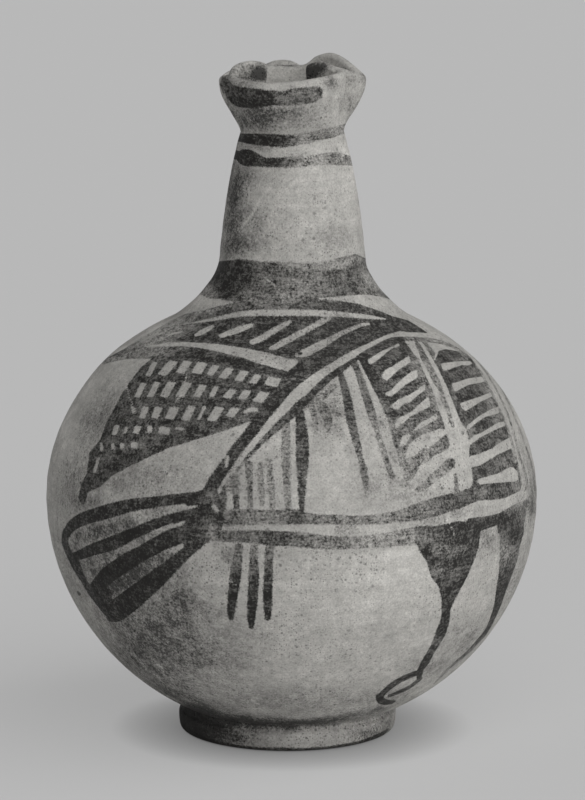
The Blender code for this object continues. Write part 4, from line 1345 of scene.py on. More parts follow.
def to_photo(points):
    """Photograph pixels of an array of points."""
    right = np.array((1.0, 0.0, 0.0))
    up = np.array((0.0, math.sin(CAMERA_TILT), math.cos(CAMERA_TILT)))
    ahead = -np.array(camera_back)
    away = points - np.array(camera.location)
    scale = CAMERA_DISTANCE / METRES_PER_PIXEL / (away @ ahead)
    across = 0.5 * PHOTO_WIDTH + scale * (away @ right)
    down = 0.5 * PHOTO_HEIGHT - scale * (away @ up)
    return np.stack([across, down], axis=1)


def smooth_stroke(points, ink):
    """Close places on a Catmull-Rom curve along the stroke: x, y, half width and ink."""
    knots = np.array([tuple(point) + (ink,) * (4 - len(point)) for point in points], dtype=float)
    knots = np.vstack([2 * knots[0] - knots[1], knots, 2 * knots[-1] - knots[-2]])
    places = []
    for a, b, c, d in zip(knots[:-3], knots[1:-2], knots[2:-1], knots[3:]):
        steps = max(2, int(np.hypot(*(c - b)[:2]) / STROKE_STEP))
        bend, twist = 2 * a - 5 * b + 4 * c - d, 3 * b - a - 3 * c + d
        for t in np.arange(steps) / steps:
            places.append(0.5 * (2 * b + (c - a) * t + bend * t**2 + twist * t**3))
    places.append(knots[-2])
    places = np.array(places)
    places[:, 2] = 0.5 * np.maximum(places[:, 2], THINNEST_MARK)
    return places


def stroke_distance(pixels, places):
    """Distance of pixels to the stroke's edge, below zero inside it, and the ink of its nearest place."""
    best = np.full(len(pixels), VERY_FAR)
    ink = np.zeros(len(pixels))
    for x, y, half, strength in places:
        gap = np.hypot(pixels[:, 0] - x, pixels[:, 1] - y) - half
        nearer = gap < best
        best[nearer] = gap[nearer]
        ink[nearer] = strength
    return best, ink


def patch_distance(pixels, corners):
    """Distance of pixels to the patch's outline, below zero inside it."""
    best = np.full(len(pixels), VERY_FAR)
    inside = np.zeros(len(pixels), dtype=bool)
    for start, end in zip(corners, np.roll(corners, -1, axis=0)):
        edge = end - start
        away = pixels - start
        along = np.clip((away @ edge) / (edge @ edge), 0.0, 1.0)
        best = np.minimum(best, np.hypot(*(away - along[:, None] * edge).T))
        crosses = (start[1] > pixels[:, 1]) != (end[1] > pixels[:, 1])
        with np.errstate(divide="ignore", invalid="ignore"):
            level = start[0] + (pixels[:, 1] - start[1]) / (end[1] - start[1]) * edge[0]
        inside ^= crosses & (pixels[:, 0] < level)
    return np.where(inside, -best, best)


print("places of the last stroke:", len(smooth_stroke(marks[-1][2], marks[-1][3])))

# %% From all marks to the paint on the clay
FAR = 12.0
INK_REACH = 6.0
BEYOND_TAPER = 60.0
FURTHEST_ROUND = -0.45
STEEPEST = 0.25


def view_share(points, normals):
    """How far each point faces the camera: 1 towards it, 0 at the outline, below zero behind."""
    view = np.array(camera.location) - points
    view /= np.linalg.norm(view, axis=1, keepdims=True)
    return np.einsum("ij,ij->i", view, normals)


def paint_distance(pixels, facing, outer):
    """Distance in pixels to the nearest painted edge, and the ink, for points of the outer face."""
    beyond = np.clip(-facing, 0.0, None) * BEYOND_TAPER
    usable = outer & (facing > FURTHEST_ROUND)
    distance = np.full(len(pixels), FAR)
    ink = np.zeros(len(pixels))
    for kind, is_bare, spots, strength in marks:
        is_stroke = kind == "stroke"
        places = smooth_stroke(spots, strength) if is_stroke else np.array(spots, dtype=float)
        reach = FAR + (places[:, 2].max() if is_stroke else 0.0)
        low = places[:, :2].min(axis=0) - reach
        high = places[:, :2].max(axis=0) + reach
        near = np.flatnonzero(usable & np.all((pixels > low) & (pixels < high), axis=1))
        if is_stroke:
            gap, slip = stroke_distance(pixels[near], places)
        else:
            gap, slip = patch_distance(pixels[near], places), np.full(len(near), strength)
        if is_bare:
            distance[near] = np.maximum(distance[near], -gap)
            continue
        gap = gap + beyond[near]
        inside = gap < 0.0
        close = (gap < distance[near]) & (gap < INK_REACH)
        second_coat = inside & (distance[near] < 0.0)
        slip = np.where(second_coat, np.maximum(ink[near], slip), slip)
        ink[near] = np.where(inside | close, slip, ink[near])
        distance[near] = np.minimum(distance[near], gap)
    distance = distance / np.clip(facing, STEEPEST, 1.0)
    return np.clip(distance, -FAR, FAR), ink


print("marks to lay on:", len(marks), "of them bare:", sum(is_bare for _, is_bare, _, _ in marks))

# %% Soil, painted shade and light, worn places and the bands at the back
MOUTH_MIDDLE = 0.004
CLOUD_FADE_START = -0.22
CLOUD_FADE_LENGTH = 0.38
WEAR_FADE_LENGTH = 0.35
SCRATCH_REACH = 40.0
SCRATCH_KEEPS = 0.3
SCRATCH_CLEANS = 0.35
PALEST_CLOUDS = -0.5
DARKEST_CLOUDS = 1.6
SMALLEST_RADIUS = 1e-6
BACK_BANDS = (
    # height at the left and the right outline, half width, ink at the left and the right
    (0.2236, 0.2270, 0.0017, 0.90, 0.50),
    (0.2172, 0.2144, 0.0017, 0.90, 0.50),
    (0.1704, 0.1711, 0.0061, 0.92, 0.70),
    (0.0102, 0.0116, 0.0022, 0.92, 0.65),
)


def cloud(pixels, x, y, wide, high):
    """A soft spot, 1 in its middle, that fades over its half width and half height."""
    return np.exp(-(((pixels[:, 0] - x) / wide) ** 2) - ((pixels[:, 1] - y) / high) ** 2)


# soil, painted shade and painted light on the points: clouds on the outer face, painted shade in the curls of
# the mouth and clouds on its back lobe; scratches clean the slip
def soil_and_painted_light_on(points, pixels, facing, outer):
    in_mouth = ~outer & (points[:, 2] > THROAT_HEIGHT)
    behind = points[:, 1] >= MOUTH_MIDDLE
    in_front = outer * np.clip((facing - CLOUD_FADE_START) / CLOUD_FADE_LENGTH, 0.0, 1.0)
    soil_and_painted_light = np.zeros(len(points))
    for clouds, share in (
        (soil_and_painted_light_clouds, in_front), (mouth_painted_shade, in_mouth & ~behind), (back_stains, in_mouth & behind)
    ):
        for x, y, wide, high, amount in clouds:
            soil_and_painted_light += amount * cloud(pixels, x, y, wide, high) * share
    for spots in scratches:
        places = smooth_stroke(spots, 1.0)
        close = np.all(np.abs(pixels - places[:, :2].mean(axis=0)) < SCRATCH_REACH, axis=1)
        near = np.flatnonzero(close & outer & (facing > 0.0))
        cut = near[stroke_distance(pixels[near], places)[0] < 0.0]
        soil_and_painted_light[cut] = SCRATCH_KEEPS * soil_and_painted_light[cut] - SCRATCH_CLEANS
    return np.clip(soil_and_painted_light, PALEST_CLOUDS, DARKEST_CLOUDS)


def carry_bands_round(points, facing, outer, distance, ink):
    """Lay the bands of the neck and the foot on the points that the camera doesn't see."""
    radius = np.hypot(points[:, 0], points[:, 1])
    share = 0.5 + 0.5 * points[:, 0] / np.maximum(radius, SMALLEST_RADIUS)
    for left, right, half, left_ink, right_ink in BACK_BANDS:
        gap = (np.abs(points[:, 2] - left - share * (right - left)) - half) / METRES_PER_PIXEL
        wins = outer & (facing < 0.0) & (gap < distance)
        distance[wins] = gap[wins]
        ink[wins] = (left_ink + share * (right_ink - left_ink))[wins]


print("soft clouds:", len(soil_and_painted_light_clouds) + len(mouth_painted_shade) + len(back_stains) + len(worn_and_painted_light))

# %% Store the paint on a piece
LOW_PART = FOOT_HEIGHT + 0.01


def outer_points(mesh, points, normals):
    """True for the points that the brush can reach: the outer face, and all of the low part."""
    side = mesh.attributes.get("outer_side")
    if side is None:
        outward = np.einsum("ij,ij->i", points[:, :2], normals[:, :2]) > 0.0
        return outward | (points[:, 2] < LOW_PART)
    values = np.empty(len(points))
    side.data.foreach_get("value", values)
    mesh.attributes.remove(side)
    return values > 0.5


def store_paint(mesh, lowest=0.0):
    """Write the paint distance in millimetres, the ink, and the soil with its painted shade and light, to the
    points over the lowest height.
    """
    points, normals = outer_normals(mesh)
    outer = outer_points(mesh, points, normals) & (points[:, 2] >= lowest)
    pixels = to_photo(points)
    facing = view_share(points, normals)
    distance, ink = paint_distance(pixels, facing, outer)
    carry_bands_round(points, facing, outer, distance, ink)
    in_front = np.clip((facing + WEAR_FADE_LENGTH) / WEAR_FADE_LENGTH, 0.0, 1.0)
    for x, y, wide, high, amount in worn_and_painted_light:
        ink *= 1.0 - amount * cloud(pixels, x, y, wide, high) * in_front
    millimetres = distance * METRES_PER_PIXEL / MILLIMETRE
    soil_and_painted_light = soil_and_painted_light_on(points, pixels, facing, outer)
    for label, values in (("paint_edge", millimetres), ("paint_ink", ink), ("soil_and_painted_light", soil_and_painted_light)):
        store = mesh.attributes.new(label, "FLOAT", "POINT")
        store.data.foreach_set("value", values.astype(np.float32))
    mesh.normals_split_custom_set_from_vertices(normals)
    print(mesh.name, "painted points:", int((distance < 0).sum()), "of", len(points))


print("paint is stored on points, one pixel is", METRES_PER_PIXEL / MILLIMETRE, "mm")

# %% [markdown]
# Fired slip is never one flat colour. Its tone drifts over a few centimetres, small grits and pits show as
# dark specks, and the surface is faintly uneven. All clay pieces share this, so it is one node group with
# values of its own in each material. It puts out colour, roughness and height only: the shader stays in the
# material.

# %% Node helpers for materials
MIX_SHARE = 0
MIX_FIRST_COLOUR = 6
MIX_SECOND_COLOUR = 7
MIXED_COLOUR = 2


def start_group(name, inputs, outputs):
    """A shader group with named sockets, its entry, its end, and the place on the object."""
    group = bpy.data.node_groups.new(name, "ShaderNodeTree")
    for label, kind in inputs:
        group.interface.new_socket(label, in_out="INPUT", socket_type=kind)
    for label, kind in outputs:
        group.interface.new_socket(label, in_out="OUTPUT", socket_type=kind)
    entry = group.nodes.new("NodeGroupInput")
    leave = group.nodes.new("NodeGroupOutput")
    return group, entry, leave, group.nodes.new("ShaderNodeTexCoord").outputs["Object"]


def noise(tree, place, scale, detail=4.0, roughness=0.6):
    node = tree.nodes.new("ShaderNodeTexNoise")
    link(place, node.inputs["Vector"])
    node.inputs["Scale"].default_value = scale
    node.inputs["Detail"].default_value = detail
    node.inputs["Roughness"].default_value = roughness
    return node.outputs["Fac"]


def ramp(tree, value, low, high, start=0.0, end=1.0):
    """The value taken from the range low to high to the range start to end."""
    node = tree.nodes.new("ShaderNodeMapRange")
    link(value, node.inputs["Value"])
    for name, number in (("From Min", low), ("From Max", high), ("To Min", start), ("To Max", end)):
        node.inputs[name].default_value = number
    return node.outputs["Result"]


def uneven(tree, place, scale, detail, roughness, start, end, window=(0.3, 0.7)):
    """Noise spread from start to end; a narrow window of the noise makes it harsher."""
    return ramp(tree, noise(tree, place, scale, detail, roughness), *window, start, end)


def stretched(tree, place, scale):
    """The place with its own scale along each axis, for marks that run round the pot."""
    node = tree.nodes.new("ShaderNodeMapping")
    node.inputs["Scale"].default_value = scale
    link(place, node.inputs["Vector"])
    return node.outputs[0]


def stored(tree, name):
    """A number that was stored on the points of the mesh."""
    node = tree.nodes.new("ShaderNodeAttribute")
    node.attribute_name = name
    return node.outputs["Fac"]


def mixed(tree, share, first, second):
    node = tree.nodes.new("ShaderNodeMix")
    node.data_type = "RGBA"
    for socket, value in ((MIX_SHARE, share), (MIX_FIRST_COLOUR, first), (MIX_SECOND_COLOUR, second)):
        link(value, node.inputs[socket])
    return node.outputs[MIXED_COLOUR]


print("helpers ready for the clay's materials")

# %% Specks in the slip
SPECKS = (
    # scale, size, share of the cells that stay clean
    (1150.0, 0.24, 0.40),
    (560.0, 0.21, 0.52),
    (240.0, 0.13, 0.68),
)
SPECK_CHANCE_WIDTH = 0.25
SPECK_EDGE = (1.6, 0.6)


def dark_specks(group, place):
    """Three sizes of round specks, 1 in the middle of a speck and 0 between them."""
    dots = []
    for scale, size, clean_share in SPECKS:
        cells = group.nodes.new("ShaderNodeTexVoronoi")
        cells.inputs["Scale"].default_value = scale
        link(place, cells.inputs["Vector"])
        chance = group.nodes.new("ShaderNodeSeparateColor")
        link(cells.outputs["Color"], chance.inputs[0])
        chosen = ramp(group, chance.outputs[0], clean_share, clean_share + SPECK_CHANCE_WIDTH)
        dot = ramp(group, cells.outputs["Distance"], *(edge * size for edge in SPECK_EDGE))
        dots.append(times(group, dot, chosen))
    return combined(group, "MAXIMUM", *dots)


print("sizes of speck:", len(SPECKS))

# %% Group: grain of fired slip
# noise of the slip: scale, detail, roughness, and the tones that it runs between
DRIFT = (24.0, 4.0, 0.6, 0.85, 1.12)
CLOUDS = (230.0, 8.0, 0.78, 0.74, 1.18)
GRAINS = (1500.0, 3.0, 0.7, 0.76, 1.20)
STREAKS = (1.0, 5.0, 0.7, 0.91, 1.07)
PATCHES = (75.0, 5.0, 0.65, 0.90, 1.09)
# the same for the crowding of specks, for soil and painted shade, and for roughness, some with a window
CROWDING = (40.0, 3.0, 0.6, 0.25, 1.1, (0.35, 0.65))
SMEARS = (170.0, 7.0, 0.78, -0.29, 0.29, (0.38, 0.62))
GRITS = (1000.0, 4.0, 0.8, -0.25, 0.30, (0.42, 0.60))
MATT = (90.0, 4.0, 0.6, 0.62, 0.80)
WIPED_ROUND = (9.0, 9.0, 420.0)
SPECK_TONE = 0.38
SOIL_AND_SHADE_DARKEN = 0.745
DARKEST_SOIL_AND_SHADE = 0.14
DENTS = (160.0, 5.0)
DENT_HEIGHT = 0.00035
FINE_GRAIN = (900.0, 3.0)
FINE_HEIGHT = 0.00010
PIT_HEIGHT = -0.00018


def soiled_and_shaded_tone(group, place, soil_and_painted_light):
    """The share of the tone that is left under soil and painted shade, which lie in uneven smears and grits;
    below zero, as painted light, the tone grows.
    """
    smear = uneven(group, place, *SMEARS)
    grit = uneven(group, place, *GRITS)
    contrast = value_node(group, "POWER", value_node(group, "MAXIMUM", soil_and_painted_light, 0.0), 0.5)
    patchy = times(group, contrast, plus(group, smear, grit))
    soiled = plus(group, times(group, soil_and_painted_light, SOIL_AND_SHADE_DARKEN), patchy)
    return value_node(group, "MAXIMUM", value_node(group, "SUBTRACT", 1.0, soiled), DARKEST_SOIL_AND_SHADE)


def make_slip_grain():
    group, entry, leave, place = start_group(
        "slip_grain",
        (("Slip Colour", "NodeSocketColor"), ("Speck Amount", "NodeSocketFloat")),
        (("Colour", "NodeSocketColor"), ("Roughness", "NodeSocketFloat"), ("Height", "NodeSocketFloat")),
    )
    drift = uneven(group, place, *DRIFT)
    cloudy = uneven(group, place, *CLOUDS)
    grain = uneven(group, place, *GRAINS)
    streak = uneven(group, stretched(group, place, WIPED_ROUND), *STREAKS)
    patch = uneven(group, place, *PATCHES)
    soil_and_painted_light = stored(group, "soil_and_painted_light")
    crowd = plus(group, uneven(group, place, *CROWDING), soil_and_painted_light)
    dark = times(group, dark_specks(group, place), crowd, entry.outputs["Speck Amount"])
    specked = ramp(group, dark, 0.0, 1.0, 1.0, SPECK_TONE)
    clean = soiled_and_shaded_tone(group, place, soil_and_painted_light)
    tone = times(group, drift, cloudy, grain, streak, patch, specked, clean)
    link(scaled(group, entry.outputs["Slip Colour"], tone), leave.inputs["Colour"])
    link(uneven(group, place, *MATT), leave.inputs["Roughness"])
    dent = times(group, noise(group, place, *DENTS), DENT_HEIGHT)
    fine = times(group, noise(group, place, *FINE_GRAIN), FINE_HEIGHT)
    pit = times(group, dark, PIT_HEIGHT)
    link(plus(group, dent, fine, pit), leave.inputs["Height"])
    return group


slip_grain = make_slip_grain()
print("slip grain nodes:", len(slip_grain.nodes))

# %% [markdown]
# The dark slip was brushed on. Its edge is ragged, because the brush drags over grains, and where the brush
# ran dry the clay shows through in patches, crumbs and fine hairs. A second group reads the stored distance
# and ink and breaks both up with noise. A painted image would do it too, but only as finely as its pixels.

# %% Group: dark brushed slip
# noise of the paint: scale, detail, roughness, the values that it runs between, and a window
RAGGED_EDGE = (380.0, 4.0, 0.7, -0.26, 0.26, (0.25, 0.75))
CRUMBS = (1900.0, 2.0, 0.6, -0.34, 0.34)
RUBBED = (230.0, 8.0, 0.75, -0.52, 0.52)
DUST = (1050.0, 4.0, 0.75, -0.56, 0.56)
HAIRS = (1.0, 5.0, 0.7, -0.28, 0.28)
BRUSHED_ROUND = (170.0, 170.0, 1250.0)
EDGE_OUTSIDE = 0.30
EDGE_INSIDE = -0.26
FULL_BRUSH = 1.42
BARE_BELOW = 0.02
COVERED_ABOVE = 0.98


def make_brushed_slip():
    group, entry, leave, place = start_group(
        "brushed_slip",
        (("Ground", "NodeSocketColor"), ("Paint", "NodeSocketColor")),
        (("Colour", "NodeSocketColor"),),
    )
    ink = stored(group, "paint_ink")
    ragged = uneven(group, place, *RAGGED_EDGE)
    crumb = uneven(group, place, *CRUMBS)
    shift = plus(group, stored(group, "paint_edge"), plus(group, ragged, crumb))
    mask = ramp(group, shift, EDGE_OUTSIDE, EDGE_INSIDE)
    wear = uneven(group, place, *RUBBED)
    dust = uneven(group, place, *DUST)
    hairs = uneven(group, stretched(group, place, BRUSHED_ROUND), *HAIRS)
    thin = value_node(group, "SUBTRACT", FULL_BRUSH, ink)
    patchy = times(group, plus(group, wear, dust, hairs), thin)
    cover = ramp(group, plus(group, ink, patchy), BARE_BELOW, COVERED_ABOVE)
    cover = times(group, cover, mask)
    painted = mixed(group, cover, entry.outputs["Ground"], entry.outputs["Paint"])
    link(painted, leave.inputs["Colour"])
    return group


brushed_slip = make_brushed_slip()
print("brushed slip nodes:", len(brushed_slip.nodes))

# %% Materials of the clay
SLIP = (0.482, 0.471, 0.445)
FOOT_SLIP = (0.385, 0.375, 0.355)
BARE_CLAY = (0.36, 0.32, 0.27)
DARK_SLIP = (0.0205, 0.0195, 0.018)
CLAY_SPECULAR = 0.22
BUMP_STRENGTH = 0.55


def clay_material(name, slip, specks, paint=None):
    material = bpy.data.materials.new(name)
    material.use_nodes = True
    tree = material.node_tree
    surface = tree.nodes["Principled BSDF"]
    surface.inputs["Specular IOR Level"].default_value = CLAY_SPECULAR
    grain = tree.nodes.new("ShaderNodeGroup")
    grain.node_tree = slip_grain
    grain.inputs["Slip Colour"].default_value = (*slip, 1.0)
    grain.inputs["Speck Amount"].default_value = specks
    colour = grain.outputs["Colour"]
    if paint:
        strokes = tree.nodes.new("ShaderNodeGroup")
        strokes.node_tree = brushed_slip
        strokes.inputs["Paint"].default_value = (*paint, 1.0)
        link(colour, strokes.inputs["Ground"])
        colour = strokes.outputs["Colour"]
    link(colour, surface.inputs["Base Color"])
    link(grain.outputs["Roughness"], surface.inputs["Roughness"])
    bump = tree.nodes.new("ShaderNodeBump")
    bump.inputs["Strength"].default_value = BUMP_STRENGTH
    bump.inputs["Distance"].default_value = 1.0
    link(grain.outputs["Height"], bump.inputs["Height"])
    link(bump.outputs[0], surface.inputs["Normal"])
    return material


painted_slip = clay_material("painted_slip", SLIP, specks=1.0, paint=DARK_SLIP)
foot_slip = clay_material("worn_foot_slip", FOOT_SLIP, specks=1.3, paint=DARK_SLIP)
plain_slip = clay_material("handle_slip", SLIP, specks=0.8)
luting_clay = clay_material("luting_clay", BARE_CLAY, specks=1.0)
print("clay materials:", painted_slip.name, foot_slip.name, plain_slip.name, luting_clay.name)

# %% [markdown]
# Now the pieces are made, each in the place of its solid. The two bowls and the neck meet without a visible
# line, because the potter wiped the seams over with slip before painting.

# %% Lower bowl and shoulder
COLUMNS = 420
FRONT_CLOSENESS = 0.38
lower_body = turned_piece("lower_body_clay", bowl_outline, COLUMNS, FRONT_CLOSENESS, painted_slip)
upper_body = turned_piece("upper_body_clay", dome_outline, COLUMNS, FRONT_CLOSENESS, painted_slip)

# %% Neck and mouth
neck = looped_piece("neck_and_mouth_clay", neck_mesh("neck_and_mouth_clay"), painted_slip)

# %% Paint on the body and the neck
for piece in (lower_body, upper_body, neck):
    apply_wobble(piece.data)
    store_paint(piece.data)

# %% [markdown]
# The foot ring was thrown separately and stands a little off the axis. Its outer edge is a soft ridge over
# a narrow waist, and its underside is worn flat where it stands. A few corners give the outline, and
# cutting them several times rounds it, as a wet sponge would.

# %% Outline of the foot
FOOT_SPREAD = 0.0007
FOOT_RIDGE_SHARE = 0.72
FOOT_ROUNDS = 3
CORNER_CUT = 0.25
FOOT_IN_BOWL = 0.0022
FOOT_TOP_INSET = 0.0006
FOOT_INNER_GAP = 0.0004
foot_radius = FOOT_RADIUS + FOOT_SPREAD
foot_waist = foot_radius - FOOT_WAIST
foot_inner = FOOT_RADIUS - FOOT_WIDTH
foot_ridge = FOOT_RIDGE_SHARE * FOOT_HEIGHT
# down the outer face, under the ring and up its inner face
foot_corners = [
    (foot_waist - FOOT_TOP_INSET, FOOT_HEIGHT + FOOT_IN_BOWL),
    (foot_waist, foot_ridge + 0.7 * FOOT_WAIST),
    (foot_radius - 0.25 * FOOT_WAIST, foot_ridge + 0.1 * FOOT_WAIST),
    (foot_radius, foot_ridge - 0.8 * FOOT_WAIST),
    (foot_radius - 0.10 * FOOT_WAIST, 0.35 * FOOT_HEIGHT),
    (foot_radius - 0.45 * FOOT_WAIST, 0.10 * FOOT_HEIGHT),
    (foot_waist - 0.09 * FOOT_WIDTH, 0.03 * FOOT_HEIGHT),
    (foot_waist - 0.22 * FOOT_WIDTH, 0.0),
    (foot_inner + 0.22 * FOOT_WIDTH, 0.0),
    (foot_inner + 0.07 * FOOT_WIDTH, 0.05 * FOOT_HEIGHT),
    (foot_inner, 0.16 * FOOT_HEIGHT),
    (foot_inner, FOOT_HEIGHT - FOOT_INNER_GAP),
]


def rounded(corners, rounds):
    """A closed outline whose corners are cut again and again, except where it starts and ends."""
    line = np.array(corners)
    for _ in range(rounds):
        first = (1 - CORNER_CUT) * line[:-1] + CORNER_CUT * line[1:]
        second = CORNER_CUT * line[:-1] + (1 - CORNER_CUT) * line[1:]
        line = np.vstack([line[:1], np.stack([first, second], axis=1).reshape(-1, 2), line[-1:]])
    return np.vstack([line, line[:1]])


foot_outline = rounded(foot_corners, FOOT_ROUNDS)
print("outline points of the foot:", len(foot_outline))

# %% Foot ring
FOOT_COLUMNS = 300
FOOT_CLOSENESS = 0.2


def shift_across(mesh, offset):
    move_points(mesh, point_values(mesh, "co") + (offset, 0.0, 0.0))


foot = turned_piece("foot_ring_clay", foot_outline, FOOT_COLUMNS, FOOT_CLOSENESS, foot_slip)
shift_across(foot.data, -FOOT_OFFSET)
store_paint(foot.data)

# %% [markdown]
# Inside, where no light falls, coils of soft clay were smeared over the seams. They are turned on the same
# wheel from short outlines: along the wall one way, and back over the thickness of the coil. A torus would
# be quicker, but it would touch the wall in one line only.

# %% Coil inside the belly
COIL_THICKNESS = 0.0026
COIL_COLUMNS = 160
COIL_CROWN = 1.05
COIL_STEPS = 8
COIL_FIRST_STEP = 0.12
BELLY_COIL_HEIGHT = 0.018


def belly_side(place, depth_of_bowl, shares, thickness):
    """Points of the coil on one side of the seam, with the given thickness in the middle."""
    half = 0.5 * BELLY_COIL_HEIGHT
    depths = [BODY_WALL + thickness * (COIL_CROWN - share**2) for share in shares]
    return [place(share * half / depth_of_bowl, depth) for share, depth in zip(shares, depths)]


to_seam = spread(1.0, 0.0, COIL_STEPS)
from_seam = spread(COIL_FIRST_STEP, 1.0, COIL_STEPS)
belly_outline = belly_side(dome_point, SHOULDER_RISE, to_seam, 0.0)
belly_outline += belly_side(bowl_point, BOWL_DEPTH, from_seam, 0.0)
belly_outline += belly_side(bowl_point, BOWL_DEPTH, to_seam, COIL_THICKNESS)
belly_outline += belly_side(dome_point, SHOULDER_RISE, from_seam, COIL_THICKNESS)
belly_outline.append(belly_outline[0])
belly_coil = turned_piece("belly_luting_coil_clay", belly_outline, COIL_COLUMNS, 0.0, luting_clay)

# %% Coil under the neck
NECK_COIL_HEIGHT = 0.013
NECK_COIL_FADE = 0.8
NECK_COIL_ROWS = range(10, -1, -2)
SHOULDER_STEPS = 7
FEW_CONE_ROWS = 4
SHOULDER_FIRST_STEP = 0.15
half_coil = 0.5 * NECK_COIL_HEIGHT
neck_line = neck_profile(FLARE_ROWS, FEW_CONE_ROWS)
neck_out = right_hand(directions(neck_line))
neck_run = np.concatenate([[0.0], np.cumsum(np.linalg.norm(np.diff(neck_line, axis=0), axis=1))])
stations = [(neck_line[k], neck_out[k], neck_run[k] / half_coil) for k in NECK_COIL_ROWS]
seam_pace = (dome_point(SEAM_ANGLE + SMALL_TURN) - dome_point(SEAM_ANGLE)).length / SMALL_TURN
for share in spread(SHOULDER_FIRST_STEP, 1.0, SHOULDER_STEPS):
    angle = SEAM_ANGLE - share * half_coil / seam_pace
    face = dome_point(angle)
    stations.append((np.array(face), np.array(face - dome_point(angle, 1.0)), share))
neck_outline = [face - BODY_WALL * out for face, out, _ in stations]
for face, out, share in reversed(stations):
    thickness = COIL_THICKNESS * (COIL_CROWN - NECK_COIL_FADE * min(share, 1.0) ** 2)
    neck_outline.append(face - (BODY_WALL + thickness) * out)
neck_outline.append(neck_outline[0])
neck_coil = turned_piece("neck_luting_coil_clay", neck_outline, COIL_COLUMNS, 0.0, luting_clay)

# %% Coil inside the foot
FOOT_COIL_SIZE = 0.0050
FOOT_COIL_COLUMNS = 200
FOOT_COIL_ROUNDS = 2
FOOT_COIL_IN_BOWL = 0.0004
coil_top = bowl_point(bowl_angle(foot_inner)).y
coil_tip = bowl_point(bowl_angle(foot_inner - FOOT_COIL_SIZE)).y
coil_corners = [
    (foot_inner, coil_top),
    (foot_inner, coil_top - 0.8 * FOOT_COIL_SIZE),
    (foot_inner - 0.25 * FOOT_COIL_SIZE, coil_top - 0.7 * FOOT_COIL_SIZE),
    (foot_inner - 0.6 * FOOT_COIL_SIZE, coil_top - 0.6 * FOOT_COIL_SIZE),
    (foot_inner - FOOT_COIL_SIZE, coil_tip - 0.1 * FOOT_COIL_SIZE),
    (foot_inner - 0.9 * FOOT_COIL_SIZE, coil_tip + FOOT_COIL_IN_BOWL),
]
coil_outline = rounded(coil_corners, FOOT_COIL_ROUNDS)
foot_coil = turned_piece("foot_luting_coil_clay", coil_outline, FOOT_COIL_COLUMNS, 0.0, luting_clay)
shift_across(foot_coil.data, -FOOT_OFFSET)

# %% [markdown]
# The handle goes on last, with its two wads of wet clay. The wads look for the nearest place on the wall,
# so they follow its pinched shape, and points that would come through inside the mouth are pressed back
# into the thickness of the wall. Only the handle's top shows over the back rim, so only that part takes
# soil.

# %% Handle
HANDLE_SIDES = 64
handle = rolled_piece("handle_clay", HANDLE_SIDES, plain_slip)

# %% Wad at the rim
RIM_WAD_TOP = 13
RIM_WAD_FOOT = 3
RIM_WAD_SPREAD = 0.30
RIM_WAD_THUMB = 1.3
TUCK_DEPTH = 0.0009
TUCK_REACH = 0.02
HANDLE_SHOWS_FROM = 0.236


def face_tree(piece, outer):
    """A search tree over the outer or the inner faces of a piece."""
    mesh = piece.data
    places = [vert.co.copy() for vert in mesh.vertices]
    faces = [face for face in mesh.polygons if (face.center.xy.dot(face.normal.xy) > 0.0) == outer]
    return BVHTree.FromPolygons(places, [tuple(face.vertices) for face in faces])


def tuck_into_wall(piece, wall):
    """Press points that come through the wall back into its thickness."""
    moved = 0
    for vert in piece.data.vertices:
        hit, normal, _, _ = wall.find_nearest(vert.co, TUCK_REACH)
        if hit and (vert.co - hit).dot(normal) > -TUCK_DEPTH:
            vert.co = hit - TUCK_DEPTH * normal
            moved += 1
    piece.data.update()
    print(piece.name, "points tucked into the wall:", moved)


mouth_outside = face_tree(neck, True)
mouth_inside = face_tree(neck, False)
rim_wad = pressed_wad(
    "handle_rim_wad_clay", RIM_WAD_TOP, RIM_WAD_FOOT, RIM_WAD_SPREAD, mouth_outside, plain_slip, RIM_WAD_THUMB
)
for piece in (handle, rim_wad):
    tuck_into_wall(piece, mouth_inside)
    store_paint(piece.data, HANDLE_SHOWS_FROM)

# %% Wad on the shoulder
SHOULDER_WAD_TOP = HANDLE_STEPS - 14
SHOULDER_WAD_FOOT = HANDLE_STEPS - 6
SHOULDER_WAD_SPREAD = 0.42
SHOULDER_WAD_THUMB = 0.4
shoulder_wad = pressed_wad(
    "handle_shoulder_wad_clay", SHOULDER_WAD_TOP, SHOULDER_WAD_FOOT, SHOULDER_WAD_SPREAD,
    face_tree(upper_body, True), plain_slip, SHOULDER_WAD_THUMB,
)

# %% [markdown]
# A catalogue photograph lights such a jug softly, here mostly from the right, over a plain pale table. One
# broad sun gives the soft shade, a faint one stands for the light that a pale wall throws back, and the
# even world light fills the left side. The table glows a little for the camera only, and ambient occlusion
# dims that glow into a painted contact shadow round the foot.

# %% Pale table
TABLE_CORNERS = ((-8, -6, 0), (8, -6, 0), (8, 12, 0), (-8, 12, 0))
TABLE_TONE = 0.80
TABLE_ROUGHNESS = 0.95
TABLE_GLOW = 0.48
TABLE_GLOW_SHARE = 0.7
CONTACT_SHADOW_REACH = 0.023
CONTACT_SHADOW_LOSS = 0.7


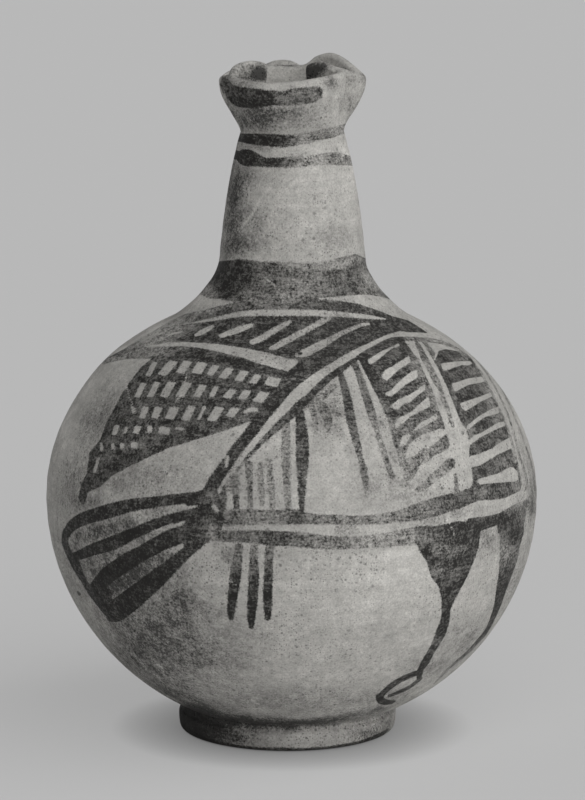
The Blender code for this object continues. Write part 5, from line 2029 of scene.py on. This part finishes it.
def table_material():
    material = bpy.data.materials.new("pale_table_finish")
    material.use_nodes = True
    tree = material.node_tree
    paper = tree.nodes["Principled BSDF"]
    paper.inputs["Base Color"].default_value = (TABLE_TONE, TABLE_TONE, TABLE_TONE, 1.0)
    paper.inputs["Roughness"].default_value = TABLE_ROUGHNESS
    paper.inputs["Specular IOR Level"].default_value = 0.0
    # ambient occlusion near the foot dims the glow: a painted contact shadow
    contact_shadow = tree.nodes.new("ShaderNodeAmbientOcclusion")
    contact_shadow.inputs["Distance"].default_value = CONTACT_SHADOW_REACH
    glow_outside_contact_shadow = times(tree, contact_shadow.outputs["AO"], CONTACT_SHADOW_LOSS * TABLE_GLOW)
    glow = tree.nodes.new("ShaderNodeEmission")
    glow.inputs["Color"].default_value = (1.0, 1.0, 1.0, 1.0)
    strength = plus(tree, glow_outside_contact_shadow, (1.0 - CONTACT_SHADOW_LOSS) * TABLE_GLOW)
    link(strength, glow.inputs["Strength"])
    camera_ray = tree.nodes.new("ShaderNodeLightPath").outputs["Is Camera Ray"]
    blend = tree.nodes.new("ShaderNodeMixShader")
    link(times(tree, camera_ray, TABLE_GLOW_SHARE), blend.inputs[0])
    link(paper.outputs[0], blend.inputs[1])
    link(glow.outputs[0], blend.inputs[2])
    link(blend.outputs[0], tree.nodes["Material Output"].inputs["Surface"])
    return material


floor_mesh = bpy.data.meshes.new("pale_table")
floor_mesh.from_pydata(TABLE_CORNERS, [], [(0, 1, 2, 3)])
floor_mesh.materials.append(table_material())
floor = placed("pale_table", floor_mesh)
print("table, m:", [round(side, 1) for side in floor.dimensions])

# %% Window light and wall light
SUN_STRENGTH = 3.4
SUN_TURN = math.radians(44)
SUN_HEIGHT = math.radians(20)
SUN_SPREAD = math.radians(120)
WALL_STRENGTH = 0.4
WALL_FROM = Vector((-0.80, 0.55, 0.25))


def soft_sun(name, strength, light_from):
    light = bpy.data.lights.new(name, "SUN")
    light.energy = strength
    light.angle = SUN_SPREAD
    lamp = placed(name, light)
    lamp.rotation_euler = (-light_from).to_track_quat("-Z", "Y").to_euler()
    print(name, "strength", strength)


level = math.cos(SUN_HEIGHT)
window_from = Vector((math.sin(SUN_TURN) * level, -math.cos(SUN_TURN) * level, math.sin(SUN_HEIGHT)))
soft_sun("broad_window", SUN_STRENGTH, window_from)
soft_sun("pale_wall", WALL_STRENGTH, WALL_FROM)

# %% Light of the room
ROOM_LIGHT = 0.06
world = bpy.data.worlds.new("even_room")
bpy.context.scene.world = world
world.use_nodes = True
room = world.node_tree.nodes["Background"]
room.inputs["Color"].default_value = (1.0, 1.0, 1.0, 1.0)
room.inputs["Strength"].default_value = ROOM_LIGHT
bpy.context.scene.view_settings.view_transform = "Standard"
print("room light", ROOM_LIGHT)

# %% [markdown]
# The jug is fired in one, so every piece rides on the one body of the part. Each takes the place of its
# solid, which is hidden.

# %% Every piece stands for its solid
stand_ins = (
    (foot, "foot_ring"),
    (foot_coil, "foot_luting_coil"),
    (lower_body, "lower_body"),
    (belly_coil, "belly_luting_coil"),
    (upper_body, "upper_body"),
    (neck_coil, "neck_luting_coil"),
    (neck, "neck_and_mouth"),
    (handle, "handle"),
    (rim_wad, "handle_rim_wad"),
    (shoulder_wad, "handle_shoulder_wad"),
)
for piece, node in stand_ins:
    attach(piece, "root")
    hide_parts(node)
print("pieces handed over:", len(stand_ins))
